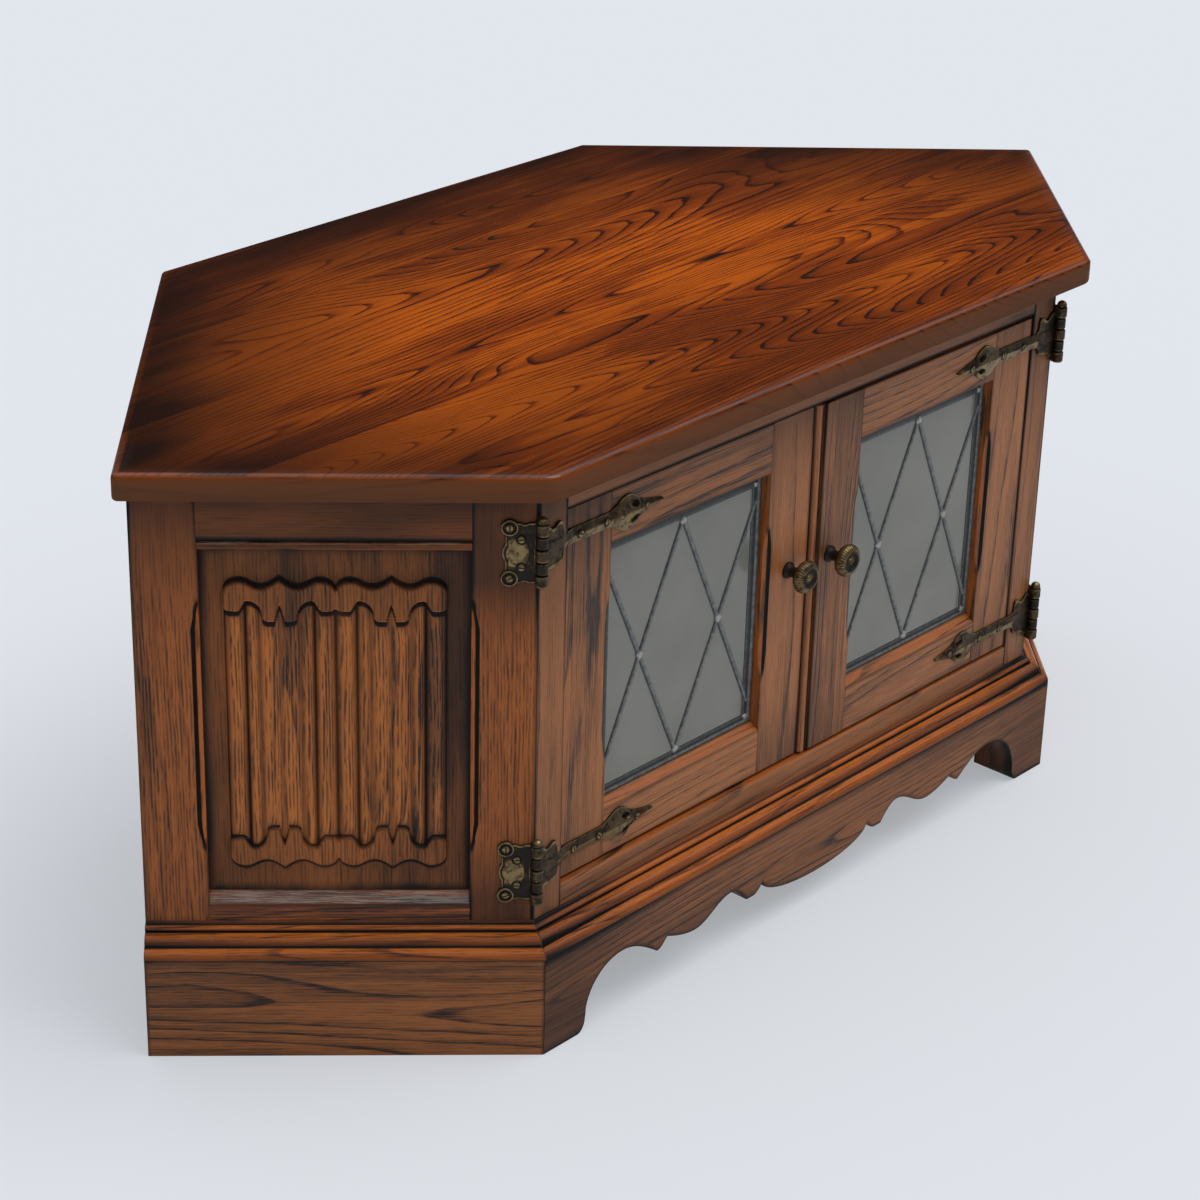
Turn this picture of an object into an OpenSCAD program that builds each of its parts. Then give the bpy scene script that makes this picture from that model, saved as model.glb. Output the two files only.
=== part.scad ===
// Corner cabinet for a television: six-sided oak top, linenfold side panels set square to
// the walls, two leaded glass doors on strap hinges, and a moulded plinth with a scalloped
// apron. Millimetres, +Z up, origin on the floor under the middle of the cabinet's box.

/* [Overall] */
// Height from the floor to the top surface
height = 480; // [460:1:540]
// Width of the body's front, corner to corner
body_w = 631; // [615:1:700]
// Width of each side frame
side_w = 290; // [275:1:330]
// Depth of the body, front face to back face
body_depth = 479; // [455:1:520]

/* [Top board] */
// Thickness of the top board
top_t = 20.5; // [16:0.5:28]
// Overhang of the top in front
top_over_front = 25; // [15:0.5:32]
// Overhang of the top past the side frames
top_over_side = 25.5; // [15:0.5:35]
// Overhang of the top along the walls
top_over_wall = 7.5; // [2:0.5:20]
// Overhang of the top at the back
top_over_back = 7.5; // [2:0.5:20]
// Plan radius of the two front corners
top_corner_r = 18; // [8:0.5:26]
// Plan radius of the other four corners
top_wall_corner_r = 5; // [4.5:0.5:12]
// Rounding of the upper arris
top_arris_r = 4; // [1:0.5:4]
// Rounding of the lower arris
top_low_arris_r = 2.5; // [1:0.5:4]

/* [Frames] */
// Thickness of the side frames and of the face frame
frame_t = 22; // [20:0.5:26]
// Width of the side stiles
side_stile_w = 47.5; // [40:0.5:55]
// Height of the side top rail, above its bead
side_rail_w = 40.5; // [30:0.5:50]
// Width of the bead along the side top rail
bead_w = 6.6; // [4:0.2:9]
// Width and depth of the quirk beside a bead
quirk = 1.2; // [0.6:0.1:2]
// Height of the sill's front arris above the floor
sill_z = 119.5; // [112:0.5:130]
// Rise of the sill's slope
sill_rise = 7.5; // [3:0.5:10]
// Width of each face stile beside a door
face_stile_w = 30; // [27:0.5:36]
// Height of the rail above the doors
face_rail_w = 24; // [18:0.5:30]
// Height of the lower edge of the doorway above the floor
doorway_z = 124; // [120:0.5:130]
// Height of the underside of the lower rails above the floor
rail_foot_z = 80; // [70:0.5:90]
// Depth of the grooves in the frames
groove_deep = 8; // [5:0.5:12]
// Clearance of a tongue in its groove, each side
tongue_gap = 0.1; // [0.05:0.05:0.3]
// Room left at the end of a tongue or tenon
tongue_end_gap = 0.8; // [0.2:0.1:0.9]
// Width across a stopped chamfer
chamfer_w = 8; // [4:0.5:9]
// Length of a chamfer's run-out
chamfer_run = 26; // [8:1:40]
// Distance from a panel's edge to its chamfers
side_chamfer_stop = 36; // [20:1:60]
// Distance from a glazed opening to its chamfers
door_chamfer_stop = 42; // [20:1:60]

/* [Linenfold panels] */
// Depth of the panel's ground behind the frame
panel_recess = 10; // [9:0.5:11]
// Thickness of the panel at its tongues
panel_t = 8; // [6:0.5:8]
// Width of one carved fold
fold_w = 80; // [70:0.5:84]
// Height of the carving's lower points above the sill's top
fold_foot = 22; // [12:1:30]
// Distance of the carving's upper points below the bead
fold_head = 25; // [12:1:35]
// Relief of the rolls above the ground
roll_relief = 5; // [3:0.1:6]
// Relief of the valleys between the rolls
valley_relief = 0.8; // [0.4:0.1:1.5]
// Relief of the scalloped bands
band_relief = 6.4; // [6.1:0.1:8]
// Width of the outer and innermost rolls
roll_w = 15; // [13:0.5:16]
// Height of the band at its point
band_point = 33.6; // [30:0.2:36]
// Height of the band at its shoulders
band_shoulder = 32.3; // [29:0.1:35]
// Height of the band in the hollows of its outer edge
band_hollow = 27; // [25:0.5:28]
// Height of the arches in the band's inner edge
band_arch = 16.6; // [12:0.2:20]
// Height of the drops at the band's ends
band_drop = 8.2; // [5:0.2:11]
// Height of the notch between the band's two lobes
band_notch = 13; // [8:0.5:18]

/* [Plinth] */
// Thickness of the plinth boards
plinth_t = 23; // [20:0.5:26]
// Height of the plinth boards
plinth_h = 83.5; // [76:0.5:88]
// Height of the moulding on the plinth
moulding_h = 22.5; // [18:0.5:24]
// Length of each front foot along the floor
foot_w = 37; // [25:1:45]
// Width of the toe's curve
foot_toe_w = 9; // [6:0.5:14]
// Height of the toe's curve
foot_toe_z = 12; // [8:0.5:18]
// Height of the arches beside the feet
foot_arch_z = 54; // [48:0.5:58]
// Height of the arches beside the middle lobe
small_arch_z = 50.5; // [46:0.5:54]
// Height under the apron's middle lobe
middle_lobe_z = 25; // [15:0.5:30]
// Height of the notches in the apron
notch_z = 43.5; // [41:0.5:47]
// Height of the apron's points
point_z = 35.3; // [31:0.1:38]
// Height under the apron's side lobes
side_lobe_z = 34.8; // [31:0.1:38]
// Half width of the middle lobe
middle_lobe_w = 68; // [60:0.5:72]
// Width of a point, from its notch to its tip
point_w = 11.5; // [8:0.5:14]
// Width of the blunt tip beside the middle lobe
blunt_w = 8; // [5:0.5:12]
// Distance between one point and the next
point_pitch = 117; // [112:0.5:124]

/* [Shell] */
// Thickness of the panels against the walls and at the back
back_t = 12; // [8:0.5:16]
// Thickness of the floor of the cabinet
floor_t = 16; // [12:0.5:20]
// Width of the battens under the floor
batten_w = 16; // [10:0.5:20]
// Length of the rear posts along each panel
post_w = 38; // [28:1:50]
// Thickness of the rear posts
post_t = 22; // [16:0.5:28]
// Radius of the cable hole in the back
cable_hole_r = 30; // [20:1:40]
// Height of the cable hole above the cabinet's floor
cable_hole_z = 90; // [60:1:150]
// Size of the blocks that hold the top
block_w = 28; // [18:1:36]

/* [Doors] */
// Thickness of the doors
door_t = 20; // [19:0.5:22]
// Gap above and below the doors
door_gap = 3; // [1.5:0.5:4]
// Gap between a door and its face stile
door_side_gap = 1.5; // [1.5:0.1:3]
// Gap between the two doors
meet_gap = 2; // [1:0.5:4]
// Depth of the left door's face behind the face frame
left_recess = 4; // [0.5:0.5:5]
// Depth of the right door's face behind the face frame
right_recess = 0.5; // [0:0.5:5]
// Width of the door stiles
door_stile_w = 50; // [44:0.5:56]
// Extra width of the right door's beaded stile
beaded_stile_extra = 6; // [3:0.5:9]
// Radius of the bead on the meeting edge
edge_bead_r = 3.8; // [2.5:0.1:4.5]
// Depth of that bead below the door's face
edge_bead_set = 0.8; // [0:0.1:1.5]
// Width of the doors' bottom rails
door_rail_w = 39.5; // [35:0.5:46]
// Width of the doors' top rails
door_top_rail_w = 42; // [35:0.5:46]
// Rise of the slope on the door's bottom rail
door_sill_rise = 6; // [2:0.5:9]
// Depth of that slope
door_sill_depth = 8; // [4:0.5:9]
// Length of the door tenons
tenon_len = 22; // [14:1:28]
// Thickness of the door tenons
tenon_t = 6; // [4:0.5:7]
// Shoulder above and below a door tenon
tenon_shoulder = 6; // [4:0.5:8]
// Width of the glass rebate
rebate_w = 8; // [6:0.5:10]
// Depth of the glass behind the door's face
glass_depth = 10; // [9.5:0.5:11]
// Thickness of the glass
glass_t = 4; // [3:0.5:5]
// Clearance around the glass
glass_gap = 0.5; // [0.2:0.1:1]
// Width of the glazing beads
glazing_bead_w = 7; // [5:0.5:7.5]
// Width of the slope along a glazing bead
bead_slope = 3; // [1:0.5:4]

/* [Leading] */
// Width of the diagonal cames
came_w = 4; // [3:0.2:6]
// Width of the came along the bottom rail
border_w = 8; // [4:0.2:10]
// Width of the cames along the stiles
side_border_w = 10; // [4:0.2:12]
// Width of the came along the top rail
top_border_w = 12; // [4:0.2:14]
// Thickness of the cames
came_t = 1.2; // [0.8:0.1:2]
// Radius of the solder joints
solder_r = 3.6; // [2.8:0.1:5]
// Height of the solder above the cames
solder_h = 0.6; // [0.2:0.1:1.2]

/* [Hinges] */
// Distance from a door's top or bottom edge to its strap
hinge_inset = 21.5; // [19:0.5:24]
// Radius of the knuckles
knuckle_r = 4.8; // [4:0.1:5]
// Clearance between the knuckles and the wood
knuckle_gap = 0.5; // [0.4:0.1:0.9]
// Length of one knuckle
knuckle_len = 10; // [9:0.1:11]
// Gap between neighbouring knuckles
knuckle_end_gap = 0.2; // [0.1:0.05:0.4]
// Radius of the hinge pin
pin_r = 2.2; // [1.8:0.1:2.6]
// Running clearance of the pin
pin_gap = 0.05; // [0.02:0.01:0.1]
// Radius of the domed head on top of the pin
pin_head_r = 4.2; // [3:0.1:4.6]
// Height of that head's straight rim
pin_rim_h = 1; // [0.5:0.1:2]
// Thickness of the fixed leaves
leaf_t = 2; // [1.5:0.1:2.6]
// Length of a fixed leaf along the side
leaf_w = 21; // [19:0.5:24]
// Distance between a leaf's corner bosses
boss_pitch = 39.6; // [36:0.2:42]
// Radius of the corner bosses
boss_r = 6.3; // [5.6:0.1:7]
// Radius of the bulge between the bosses
leaf_bulge_r = 12; // [9:0.5:13]
// How far the leaf stops short of the knuckles' ends
leaf_step = 1.5; // [0.5:0.1:3]
// Thickness of the straps
strap_t = 2.6; // [2:0.1:3.2]
// Width of the straps
strap_w = 12; // [8:0.5:13]
// Width of the plate beside the knuckles
plate_w = 41; // [36:1:46]
// Length of that plate
plate_len = 22; // [17:0.5:23]
// Distance from the face stile's edge to the strap's tip
strap_reach = 106; // [95:1:108]
// Length of the spearhead
spear_len = 60; // [50:1:62]
// Width of the spearhead
spear_w = 29; // [24:0.5:34]
// Thickness of the spearhead at its middle
spear_t = 4.4; // [3.4:0.1:5.4]
// Radius of the holes pierced in the spearhead
pierce_r = 2.5; // [1.5:0.1:3]
// Radius of the screw heads
screw_head_r = 3.1; // [2.6:0.1:3.6]
// Height of the screw heads
screw_head_h = 1.6; // [1:0.1:2]
// Radius of the screw shanks
screw_r = 1.5; // [1.2:0.1:1.8]
// Length of a screw in the wood
screw_len = 11; // [8:0.5:13]
// Clearance of a screw in its hole
screw_gap = 0.03; // [0.01:0.01:0.1]

/* [Fittings] */
// Radius of the knobs
knob_r = 13.5; // [12:0.5:14]
// Radius of the round of a knob's rim
bun_r = 5; // [4:0.1:5.6]
// Distance that the knobs stand out
knob_len = 24.5; // [22:0.5:25]
// Radius of the knob's stem
knob_stem_r = 4.3; // [3.5:0.1:5.5]
// Distance from the meeting edge to the knob
knob_inset = 23; // [20:0.5:26]
// Height of the knobs above the middle of the doors
knob_rise = 20; // [0:1:40]
// Radius of the knob's dowel
dowel_r = 3; // [2:0.1:4]
// Length of the knob's dowel
dowel_len = 10; // [6:0.5:14]
// Width of the magnetic catches
catch_w = 42; // [34:1:50]
// Drop of a catch behind its door
catch_drop = 16; // [12:1:22]
// Depth of a catch
catch_depth = 15; // [12:0.5:20]
// Thickness of the strike plates
strike_t = 1.2; // [0.8:0.1:2]
// Gap between a catch and its strike plate
strike_gap = 0.3; // [0.2:0.1:0.6]

/* [Hidden] */

oak = "#6f3d1e";
dark_oak = "#4f2c18";
brass = "#7c6a3f";
lead = "#5a6064";
root2 = sqrt(2);
// The side frames stand square to the walls, so they turn back by half a right angle
side_turn = 45;
// Lengthwise share that a mitre takes from each unit of thickness
mitre = tan(side_turn / 2);
curve_steps = 7;
roll_steps = 10;
over = 1;

// Plan of the cabinet
half_w = body_w / 2;
corner_x = half_w + side_w / root2;
corner_y = side_w / root2;
wall_len = (body_depth - corner_y) * root2;
body_top = height - top_t;
front_reach = max(top_over_front, knob_len - min(left_recess, right_recess));
middle_y = (body_depth + top_over_back - front_reach) / 2;

// Right half of an outline that stands outside the body by these amounts
function front_corner(front, side) = [half_w - front + side * root2, -front];
function wall_corner(side, wall) =
    [corner_x + (wall + side) / root2, corner_y + (wall - side) / root2];
function back_corner(wall, back) =
    [corner_x + corner_y - body_depth - back + wall * root2, body_depth + back];
function half_plan(front, side, wall, back) =
    [front_corner(front, side), wall_corner(side, wall), back_corner(wall, back)];
function flipped(points) =
    [for (i = [len(points) - 1 : -1 : 0]) [-points[i][0], points[i][1]]];
function plan(front, side, wall, back) =
    let (half = half_plan(front, side, wall, back)) concat(half, flipped(half));

// Curves between two points, without the first point
// Level at both ends
function ogee(a, b) = [for (i = [1 : curve_steps]) let (t = i / curve_steps)
    [a[0] + (b[0] - a[0]) * t, a[1] + (b[1] - a[1]) * (1 - cos(180 * t)) / 2]];
// Level at the start and steep at the end
function sweep(a, b) = [for (i = [1 : curve_steps]) let (t = i / curve_steps)
    [a[0] + (b[0] - a[0]) * t, a[1] + (b[1] - a[1]) * (1 - cos(90 * t))]];
// Steep at the start and level at the end
function settle(a, b) = [for (i = [1 : curve_steps]) let (t = i / curve_steps)
    [a[0] + (b[0] - a[0]) * t, a[1] + (b[1] - a[1]) * sin(90 * t)]];
// A quarter of an ellipse, level at the start and upright at the end
function quarter(a, b) = [for (i = [1 : curve_steps]) let (t = 90 * i / curve_steps)
    [a[0] + (b[0] - a[0]) * sin(t), a[1] + (b[1] - a[1]) * (1 - cos(t))]];
// A quarter of an ellipse, upright at the start and level at the end
function toe(a, b) = [for (i = [1 : curve_steps]) let (t = 90 * i / curve_steps)
    [a[0] + (b[0] - a[0]) * (1 - cos(t)), a[1] + (b[1] - a[1]) * sin(t)]];
// An arc about a centre
function arc(centre, r, from, to, steps) = [for (i = [0 : steps])
    let (a = from + (to - from) * i / steps) centre + r * [cos(a), sin(a)]];

module placed() translate([0, -middle_y, 0]) children();

// hand is 1 on the right and -1 on the left
module handed(hand) {
    if (hand > 0)
        children();
    else
        mirror([1, 0, 0]) children();
}

// Side frame's own axes: X back along the side, Y into the cabinet
module on_side(hand)
    placed() handed(hand) translate([half_w, 0, 0]) rotate([0, 0, side_turn]) children();

// Extrudes an outline in depth and height along X
module along_x(length) rotate([90, 0, 90]) linear_extrude(length) children();

// Extrudes an outline in X and height towards the front, from Y = 0
module forward(thickness) rotate([90, 0, 0]) linear_extrude(thickness) children();

// Cutter for an arris on the Z axis of wood that fills +X, +Y: a chamfer that runs out
module stopped_chamfer(low, high)
    rotate([0, 0, side_turn])
        translate([0, chamfer_w, 0])
            rotate([90, 0, 0])
                linear_extrude(2 * chamfer_w)
                    polygon([
                        [-over, low], [0, low],
                        [chamfer_w / 2, low + chamfer_run],
                        [chamfer_w / 2, high - chamfer_run],
                        [0, high], [-over, high]
                    ]);

// Top
module rounded_corner(r) {
    flat = r - top_arris_r;
    low_flat = r - top_low_arris_r;
    rotate_extrude($fn = 48)
        polygon(concat(
            [[0, 0]],
            arc([low_flat, top_low_arris_r], top_low_arris_r, -90, 0, 3),
            arc([flat, top_t - top_arris_r], top_arris_r, 0, 90, 5),
            [[0, top_t]]
        ));
}

module top_board() color(oak) placed() translate([0, 0, body_top]) {
    r = top_wall_corner_r;
    front = top_over_front - top_corner_r;
    side = top_over_side - top_corner_r;
    hull() {
        for (side_sign = [-1, 1]) {
            translate([side_sign * front_corner(front, side)[0], -front, 0])
                rounded_corner(top_corner_r);
            for (p = [wall_corner(top_over_side - r, top_over_wall - r),
                      back_corner(top_over_wall - r, top_over_back - r)])
                translate([side_sign * p[0], p[1], 0])
                    rounded_corner(r);
        }
    }
}

// Side frames
panel_low = sill_z + sill_rise;
panel_high = body_top - side_rail_w - bead_w - quirk;
panel_wide = side_w - 2 * side_stile_w;
tongue = groove_deep - tongue_end_gap;

module panel_groove(x)
    translate([x, panel_recess, -over])
        cube([groove_deep, panel_t, body_top + 2 * over]);

module rail_tenons(low, high)
    for (x = [side_stile_w - tongue, side_w - side_stile_w])
        translate([x, panel_recess + tongue_gap, low])
            cube([tongue, panel_t - 2 * tongue_gap, high - low]);

module side_front_stile(hand) color(oak) on_side(hand) difference() {
    linear_extrude(body_top)
        polygon([[0, 0], [side_stile_w, 0], [side_stile_w, frame_t], [frame_t * mitre, frame_t]]);
    panel_groove(side_stile_w - groove_deep);
    translate([side_stile_w, 0, 0])
        mirror([1, 0, 0])
            stopped_chamfer(panel_low + side_chamfer_stop, panel_high - side_chamfer_stop);
    for (z = hinge_heights)
        leaf_screw_holes(z);
}

module side_rear_stile(hand) color(oak) on_side(hand) difference() {
    translate([side_w - side_stile_w, 0, 0])
        cube([side_stile_w, frame_t, body_top]);
    panel_groove(side_w - side_stile_w);
    translate([side_w - side_stile_w, 0, 0])
        stopped_chamfer(panel_low + side_chamfer_stop, panel_high - side_chamfer_stop);
}

module side_top_rail(hand) color(oak) on_side(hand) {
    bead_r = bead_w / 2;
    translate([side_stile_w, 0, 0])
        along_x(panel_wide)
            polygon(concat(
                [[frame_t, body_top], [0, body_top], [0, panel_high + bead_w + quirk]],
                [[bead_r, panel_high + bead_w + quirk], [bead_r, panel_high + bead_w]],
                arc([bead_r, panel_high + bead_r], bead_r, 90, 270, 10),
                [[panel_recess, panel_high], [panel_recess, panel_high + groove_deep]],
                [[panel_recess + panel_t, panel_high + groove_deep]],
                [[panel_recess + panel_t, panel_high], [frame_t, panel_high]]
            ));
    rail_tenons(panel_high + groove_deep, body_top);
}

module side_bottom_rail(hand) color(oak) on_side(hand) {
    translate([side_stile_w, 0, 0])
        along_x(panel_wide)
            polygon([
                [0, rail_foot_z], [0, sill_z], [panel_recess, panel_low],
                [panel_recess, panel_low - groove_deep],
                [panel_recess + panel_t, panel_low - groove_deep],
                [panel_recess + panel_t, panel_low], [frame_t, panel_low],
                [frame_t, rail_foot_z]
            ]);
    rail_tenons(rail_foot_z, panel_low - groove_deep);
}

// Linenfold: each fold is a sheaf of upright rolls between two scalloped bands
inner_roll_w = fold_w / 2 - 2 * roll_w;
roll_edges = [0, roll_w, roll_w + inner_roll_w, fold_w / 2];
fold_low = panel_low + fold_foot;
fold_h = panel_high - fold_head - fold_low;

// Left half of a band's outline, with its inner edge's lobes at height 0
half_band = concat(
    [[0, band_point]],
    settle([0, band_point], [-0.34 * fold_w / 2, band_hollow]),
    ogee([-0.34 * fold_w / 2, band_hollow], [-0.72 * fold_w / 2, band_shoulder]),
    quarter([-0.72 * fold_w / 2, band_shoulder], [-fold_w / 2, band_hollow - 3]),
    [[-fold_w / 2, band_drop + 3]],
    toe([-fold_w / 2, band_drop + 3], [-0.86 * fold_w / 2, band_drop]),
    [[-0.76 * fold_w / 2, band_drop]],
    ogee([-0.76 * fold_w / 2, band_drop], [-0.58 * fold_w / 2, band_arch]),
    quarter([-0.58 * fold_w / 2, band_arch], [-0.32 * fold_w / 2, 5]),
    toe([-0.32 * fold_w / 2, 5], [-0.2 * fold_w / 2, 0]),
    [[-0.15 * fold_w / 2, 0]],
    sweep([-0.15 * fold_w / 2, 0], [0, band_notch])
);

module band()
    forward(band_relief)
        polygon(concat(half_band, flipped([for (i = [1 : len(half_band) - 2]) half_band[i]])));

// Section of one roll between two valleys, without its first point
function roll_section(from, to) =
    let (
        half = (to - from) / 2,
        rise = roll_relief - valley_relief,
        r = (half * half + rise * rise) / (2 * rise),
        reach = asin(half / r)
    )
    [for (i = [1 : roll_steps])
        let (a = reach * (2 * i / roll_steps - 1))
        [from + half + r * sin(a), r - r * cos(a) - roll_relief]];

half_fold = concat(
    [[0, -valley_relief]],
    roll_section(roll_edges[0], roll_edges[1]),
    roll_section(roll_edges[1], roll_edges[2]),
    roll_section(roll_edges[2], roll_edges[3])
);

module fold() {
    translate([0, 0, fold_h - band_point])
        band();
    translate([0, 0, band_point])
        mirror([0, 0, 1])
            band();
    translate([0, 0, band_arch])
        linear_extrude(fold_h - 2 * band_arch)
            polygon(concat(
                flipped([for (i = [1 : len(half_fold) - 1]) half_fold[i]]), half_fold,
                [[fold_w / 2, over], [-fold_w / 2, over]]
            ));
}

module linenfold_panel(hand) color(dark_oak) on_side(hand) {
    translate([side_stile_w - tongue, panel_recess + tongue_gap, panel_low - tongue])
        cube([
            panel_wide + 2 * tongue,
            panel_t - 2 * tongue_gap,
            panel_high - panel_low + 2 * tongue
        ]);
    for (side_sign = [-1, 1])
        translate([(side_w + side_sign * fold_w) / 2, panel_recess + tongue_gap, fold_low])
            fold();
}

// Face frame
doorway_top = body_top - face_rail_w;
doorway_half = half_w - face_stile_w;

module face_stile(hand) color(oak) placed() handed(hand)
    linear_extrude(body_top)
        polygon([
            [half_w, 0], [half_w - frame_t * mitre, frame_t],
            [doorway_half, frame_t], [doorway_half, 0]
        ]);

module face_rail(low, high) color(oak) placed()
    translate([-doorway_half, 0, low])
        cube([2 * doorway_half, frame_t, high - low]);

module face_top_rail() face_rail(doorway_top, body_top);

module face_bottom_rail() face_rail(rail_foot_z, doorway_z);

// Floor, walls and back
floor_low = doorway_z - floor_t;

module rear_post_shape(gap) {
    corner = back_corner(-back_t, -back_t);
    along_wall = [1, -1] / root2;
    off_wall = [-1, -1] / root2;
    offset_gap = [0, -gap];
    polygon([
        corner,
        corner + post_w * along_wall,
        corner + post_w * along_wall + (post_t + gap) * off_wall,
        corner + [-post_t * mitre, -post_t] + offset_gap,
        corner + [-post_w - gap, -post_t] + offset_gap,
        corner + [-post_w - gap, 0]
    ]);
}

module rear_post(hand) color(dark_oak) placed() handed(hand)
    linear_extrude(body_top)
        rear_post_shape(0);

module cabinet_floor() color(dark_oak) placed() difference() {
    translate([0, 0, floor_low])
        linear_extrude(floor_t)
            polygon(plan(-frame_t, -frame_t, -back_t, -back_t));
    for (hand = [-1, 1])
        handed(hand)
            translate([0, 0, floor_low - over])
                linear_extrude(floor_t + 2 * over)
                    rear_post_shape(tongue_gap);
}

module floor_battens() color(dark_oak) {
    placed()
        translate([-doorway_half, frame_t, floor_low - batten_w])
            cube([2 * doorway_half, batten_w, batten_w]);
    for (hand = [-1, 1])
        on_side(hand)
            translate([side_stile_w, frame_t, floor_low - batten_w])
                cube([panel_wide, batten_w, batten_w]);
}

module wall_panel(hand) color(dark_oak) on_side(hand)
    translate([0, 0, floor_low])
        linear_extrude(body_top - floor_low)
            polygon([
                [side_w, frame_t], [side_w, wall_len],
                [side_w - back_t, wall_len - back_t * mitre], [side_w - back_t, frame_t]
            ]);

module back_panel() color(dark_oak) placed() difference() {
    outer = back_corner(0, 0)[0];
    inner = outer - back_t * mitre;
    translate([0, 0, floor_low])
        linear_extrude(body_top - floor_low)
            polygon([
                [-outer, body_depth], [-inner, body_depth - back_t],
                [inner, body_depth - back_t], [outer, body_depth]
            ]);
    translate([0, body_depth + over, doorway_z + cable_hole_z])
        rotate([90, 0, 0])
            cylinder(r = cable_hole_r, h = back_t + 2 * over, $fn = 96);
}

// Blocks under the top: one behind the face rail, one at the back and two on each side rail
module top_block(drop)
    along_x(block_w)
        polygon([[0, 0], [0, -drop], [drop, 0]]);

module top_blocks() color(dark_oak) {
    placed() {
        translate([-block_w / 2, frame_t, body_top])
            top_block(face_rail_w - door_gap);
        translate([block_w / 2, body_depth - back_t, body_top])
            rotate([0, 0, 180])
                top_block(block_w);
    }
    for (hand = [-1, 1], place = [1 / 4, 3 / 4])
        on_side(hand)
            translate([side_w * place - block_w / 2, frame_t, body_top])
                top_block(block_w);
}

// Plinth
module trimmed(x_low, x_high, low, high) {
    // Keeps what lies between the mitre plane at the corner and the far end
    intersection() {
        children();
        translate([0, 0, low - over])
            linear_extrude(high - low + 2 * over)
                polygon([
                    [x_low, frame_t], [x_high, frame_t],
                    [x_high, -plinth_t - over], [x_low, -plinth_t - over]
                ]);
    }
}

foot_in = half_w + plinth_t * mitre - foot_w;
inner_point = middle_lobe_w + point_w;
outer_point = inner_point + point_pitch;
outer_notch = outer_point - point_w;
// Crown of the small arch and bottom of the side lobe, at shares of the way between
small_arch = inner_point + blunt_w + 0.21 * (outer_notch - inner_point);
side_lobe = inner_point + blunt_w + 0.6 * (outer_notch - inner_point);
// The foot turns from its arch into its toe
foot_bend = foot_in - foot_toe_w;
foot_arch = (outer_point + foot_bend) / 2;

half_apron = concat(
    [[0, middle_lobe_z]],
    quarter([0, middle_lobe_z], [middle_lobe_w, notch_z]),
    settle([middle_lobe_w, notch_z], [inner_point, point_z]),
    [[inner_point + blunt_w, point_z]],
    settle([inner_point + blunt_w, point_z], [small_arch, small_arch_z]),
    ogee([small_arch, small_arch_z], [side_lobe, side_lobe_z]),
    sweep([side_lobe, side_lobe_z], [outer_notch, notch_z]),
    settle([outer_notch, notch_z], [outer_point, point_z]),
    settle([outer_point, point_z], [foot_arch, foot_arch_z]),
    quarter([foot_arch, foot_arch_z], [foot_bend, foot_toe_z]),
    toe([foot_bend, foot_toe_z], [foot_in, 0])
);

module plinth_apron() color(oak) placed() intersection() {
    forward(plinth_t)
        polygon(concat(
            half_apron,
            [[corner_x, 0], [corner_x, plinth_h], [-corner_x, plinth_h], [-corner_x, 0]],
            flipped([for (i = [1 : len(half_apron) - 1]) half_apron[i]])
        ));
    translate([0, 0, -over])
        linear_extrude(plinth_h + 2 * over)
            polygon([
                [half_w, 0], [-half_w, 0],
                [-half_w - plinth_t * mitre, -plinth_t], [half_w + plinth_t * mitre, -plinth_t]
            ]);
}

// Outline of a mitred strip on the side frame, thick outwards
module side_strip(thick)
    polygon([[0, 0], [side_w, 0], [side_w, -thick], [-thick * mitre, -thick]]);

module plinth_side(hand) color(oak) on_side(hand)
    linear_extrude(plinth_h)
        side_strip(plinth_t);

// Section of the moulding: out from the body and up from the plinth
function moulding_at(out, up) = [-out * plinth_t, plinth_h + up * moulding_h];
moulding_section = concat(
    [[0, plinth_h], moulding_at(1, 0), moulding_at(1, 0.06)],
    [for (a = [0 : 15 : 90]) moulding_at(0.73 + 0.27 * cos(a), 0.06 + 0.28 * sin(a))],
    [moulding_at(0.73, 0.4), moulding_at(0.7, 0.4)],
    [for (a = [0 : 15 : 90]) moulding_at(0.34 + 0.34 * cos(a), 0.42 + 0.28 * sin(a))],
    [moulding_at(0.3, 0.7), moulding_at(0.3, 0.74)],
    [for (a = [-60 : 30 : 90]) moulding_at(0.2 + 0.09 * cos(a), 0.82 + 0.09 * sin(a))],
    [for (a = [0 : 22.5 : 90]) moulding_at(0.16 - 0.16 * sin(a), 1 - 0.1 * cos(a))],
    [[0, plinth_h + moulding_h]]
);

module base_moulding_front() color(oak) placed() intersection() {
    translate([-corner_x, 0, 0])
        along_x(2 * corner_x)
            polygon(moulding_section);
    translate([0, 0, plinth_h - over])
        linear_extrude(moulding_h + 2 * over)
            polygon([
                [half_w, 0], [-half_w, 0],
                [-half_w - plinth_t * mitre, -plinth_t], [half_w + plinth_t * mitre, -plinth_t]
            ]);
}

module base_moulding_side(hand) color(oak) on_side(hand) intersection() {
    translate([-plinth_t, 0, 0])
        along_x(side_w + plinth_t)
            polygon(moulding_section);
    translate([0, 0, plinth_h - over])
        linear_extrude(moulding_h + 2 * over)
            side_strip(plinth_t);
}

// Hinges. The pin stands off both faces of the corner by the same distance.
axis_off = knuckle_r + knuckle_gap;
axis_in = axis_off * mitre;
door_low = doorway_z + door_gap;
door_high = doorway_top - door_gap;
hinge_heights = [door_low + hinge_inset, door_high - hinge_inset];
leaf_start = 2;
hinge_len = 5 * knuckle_len;

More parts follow.
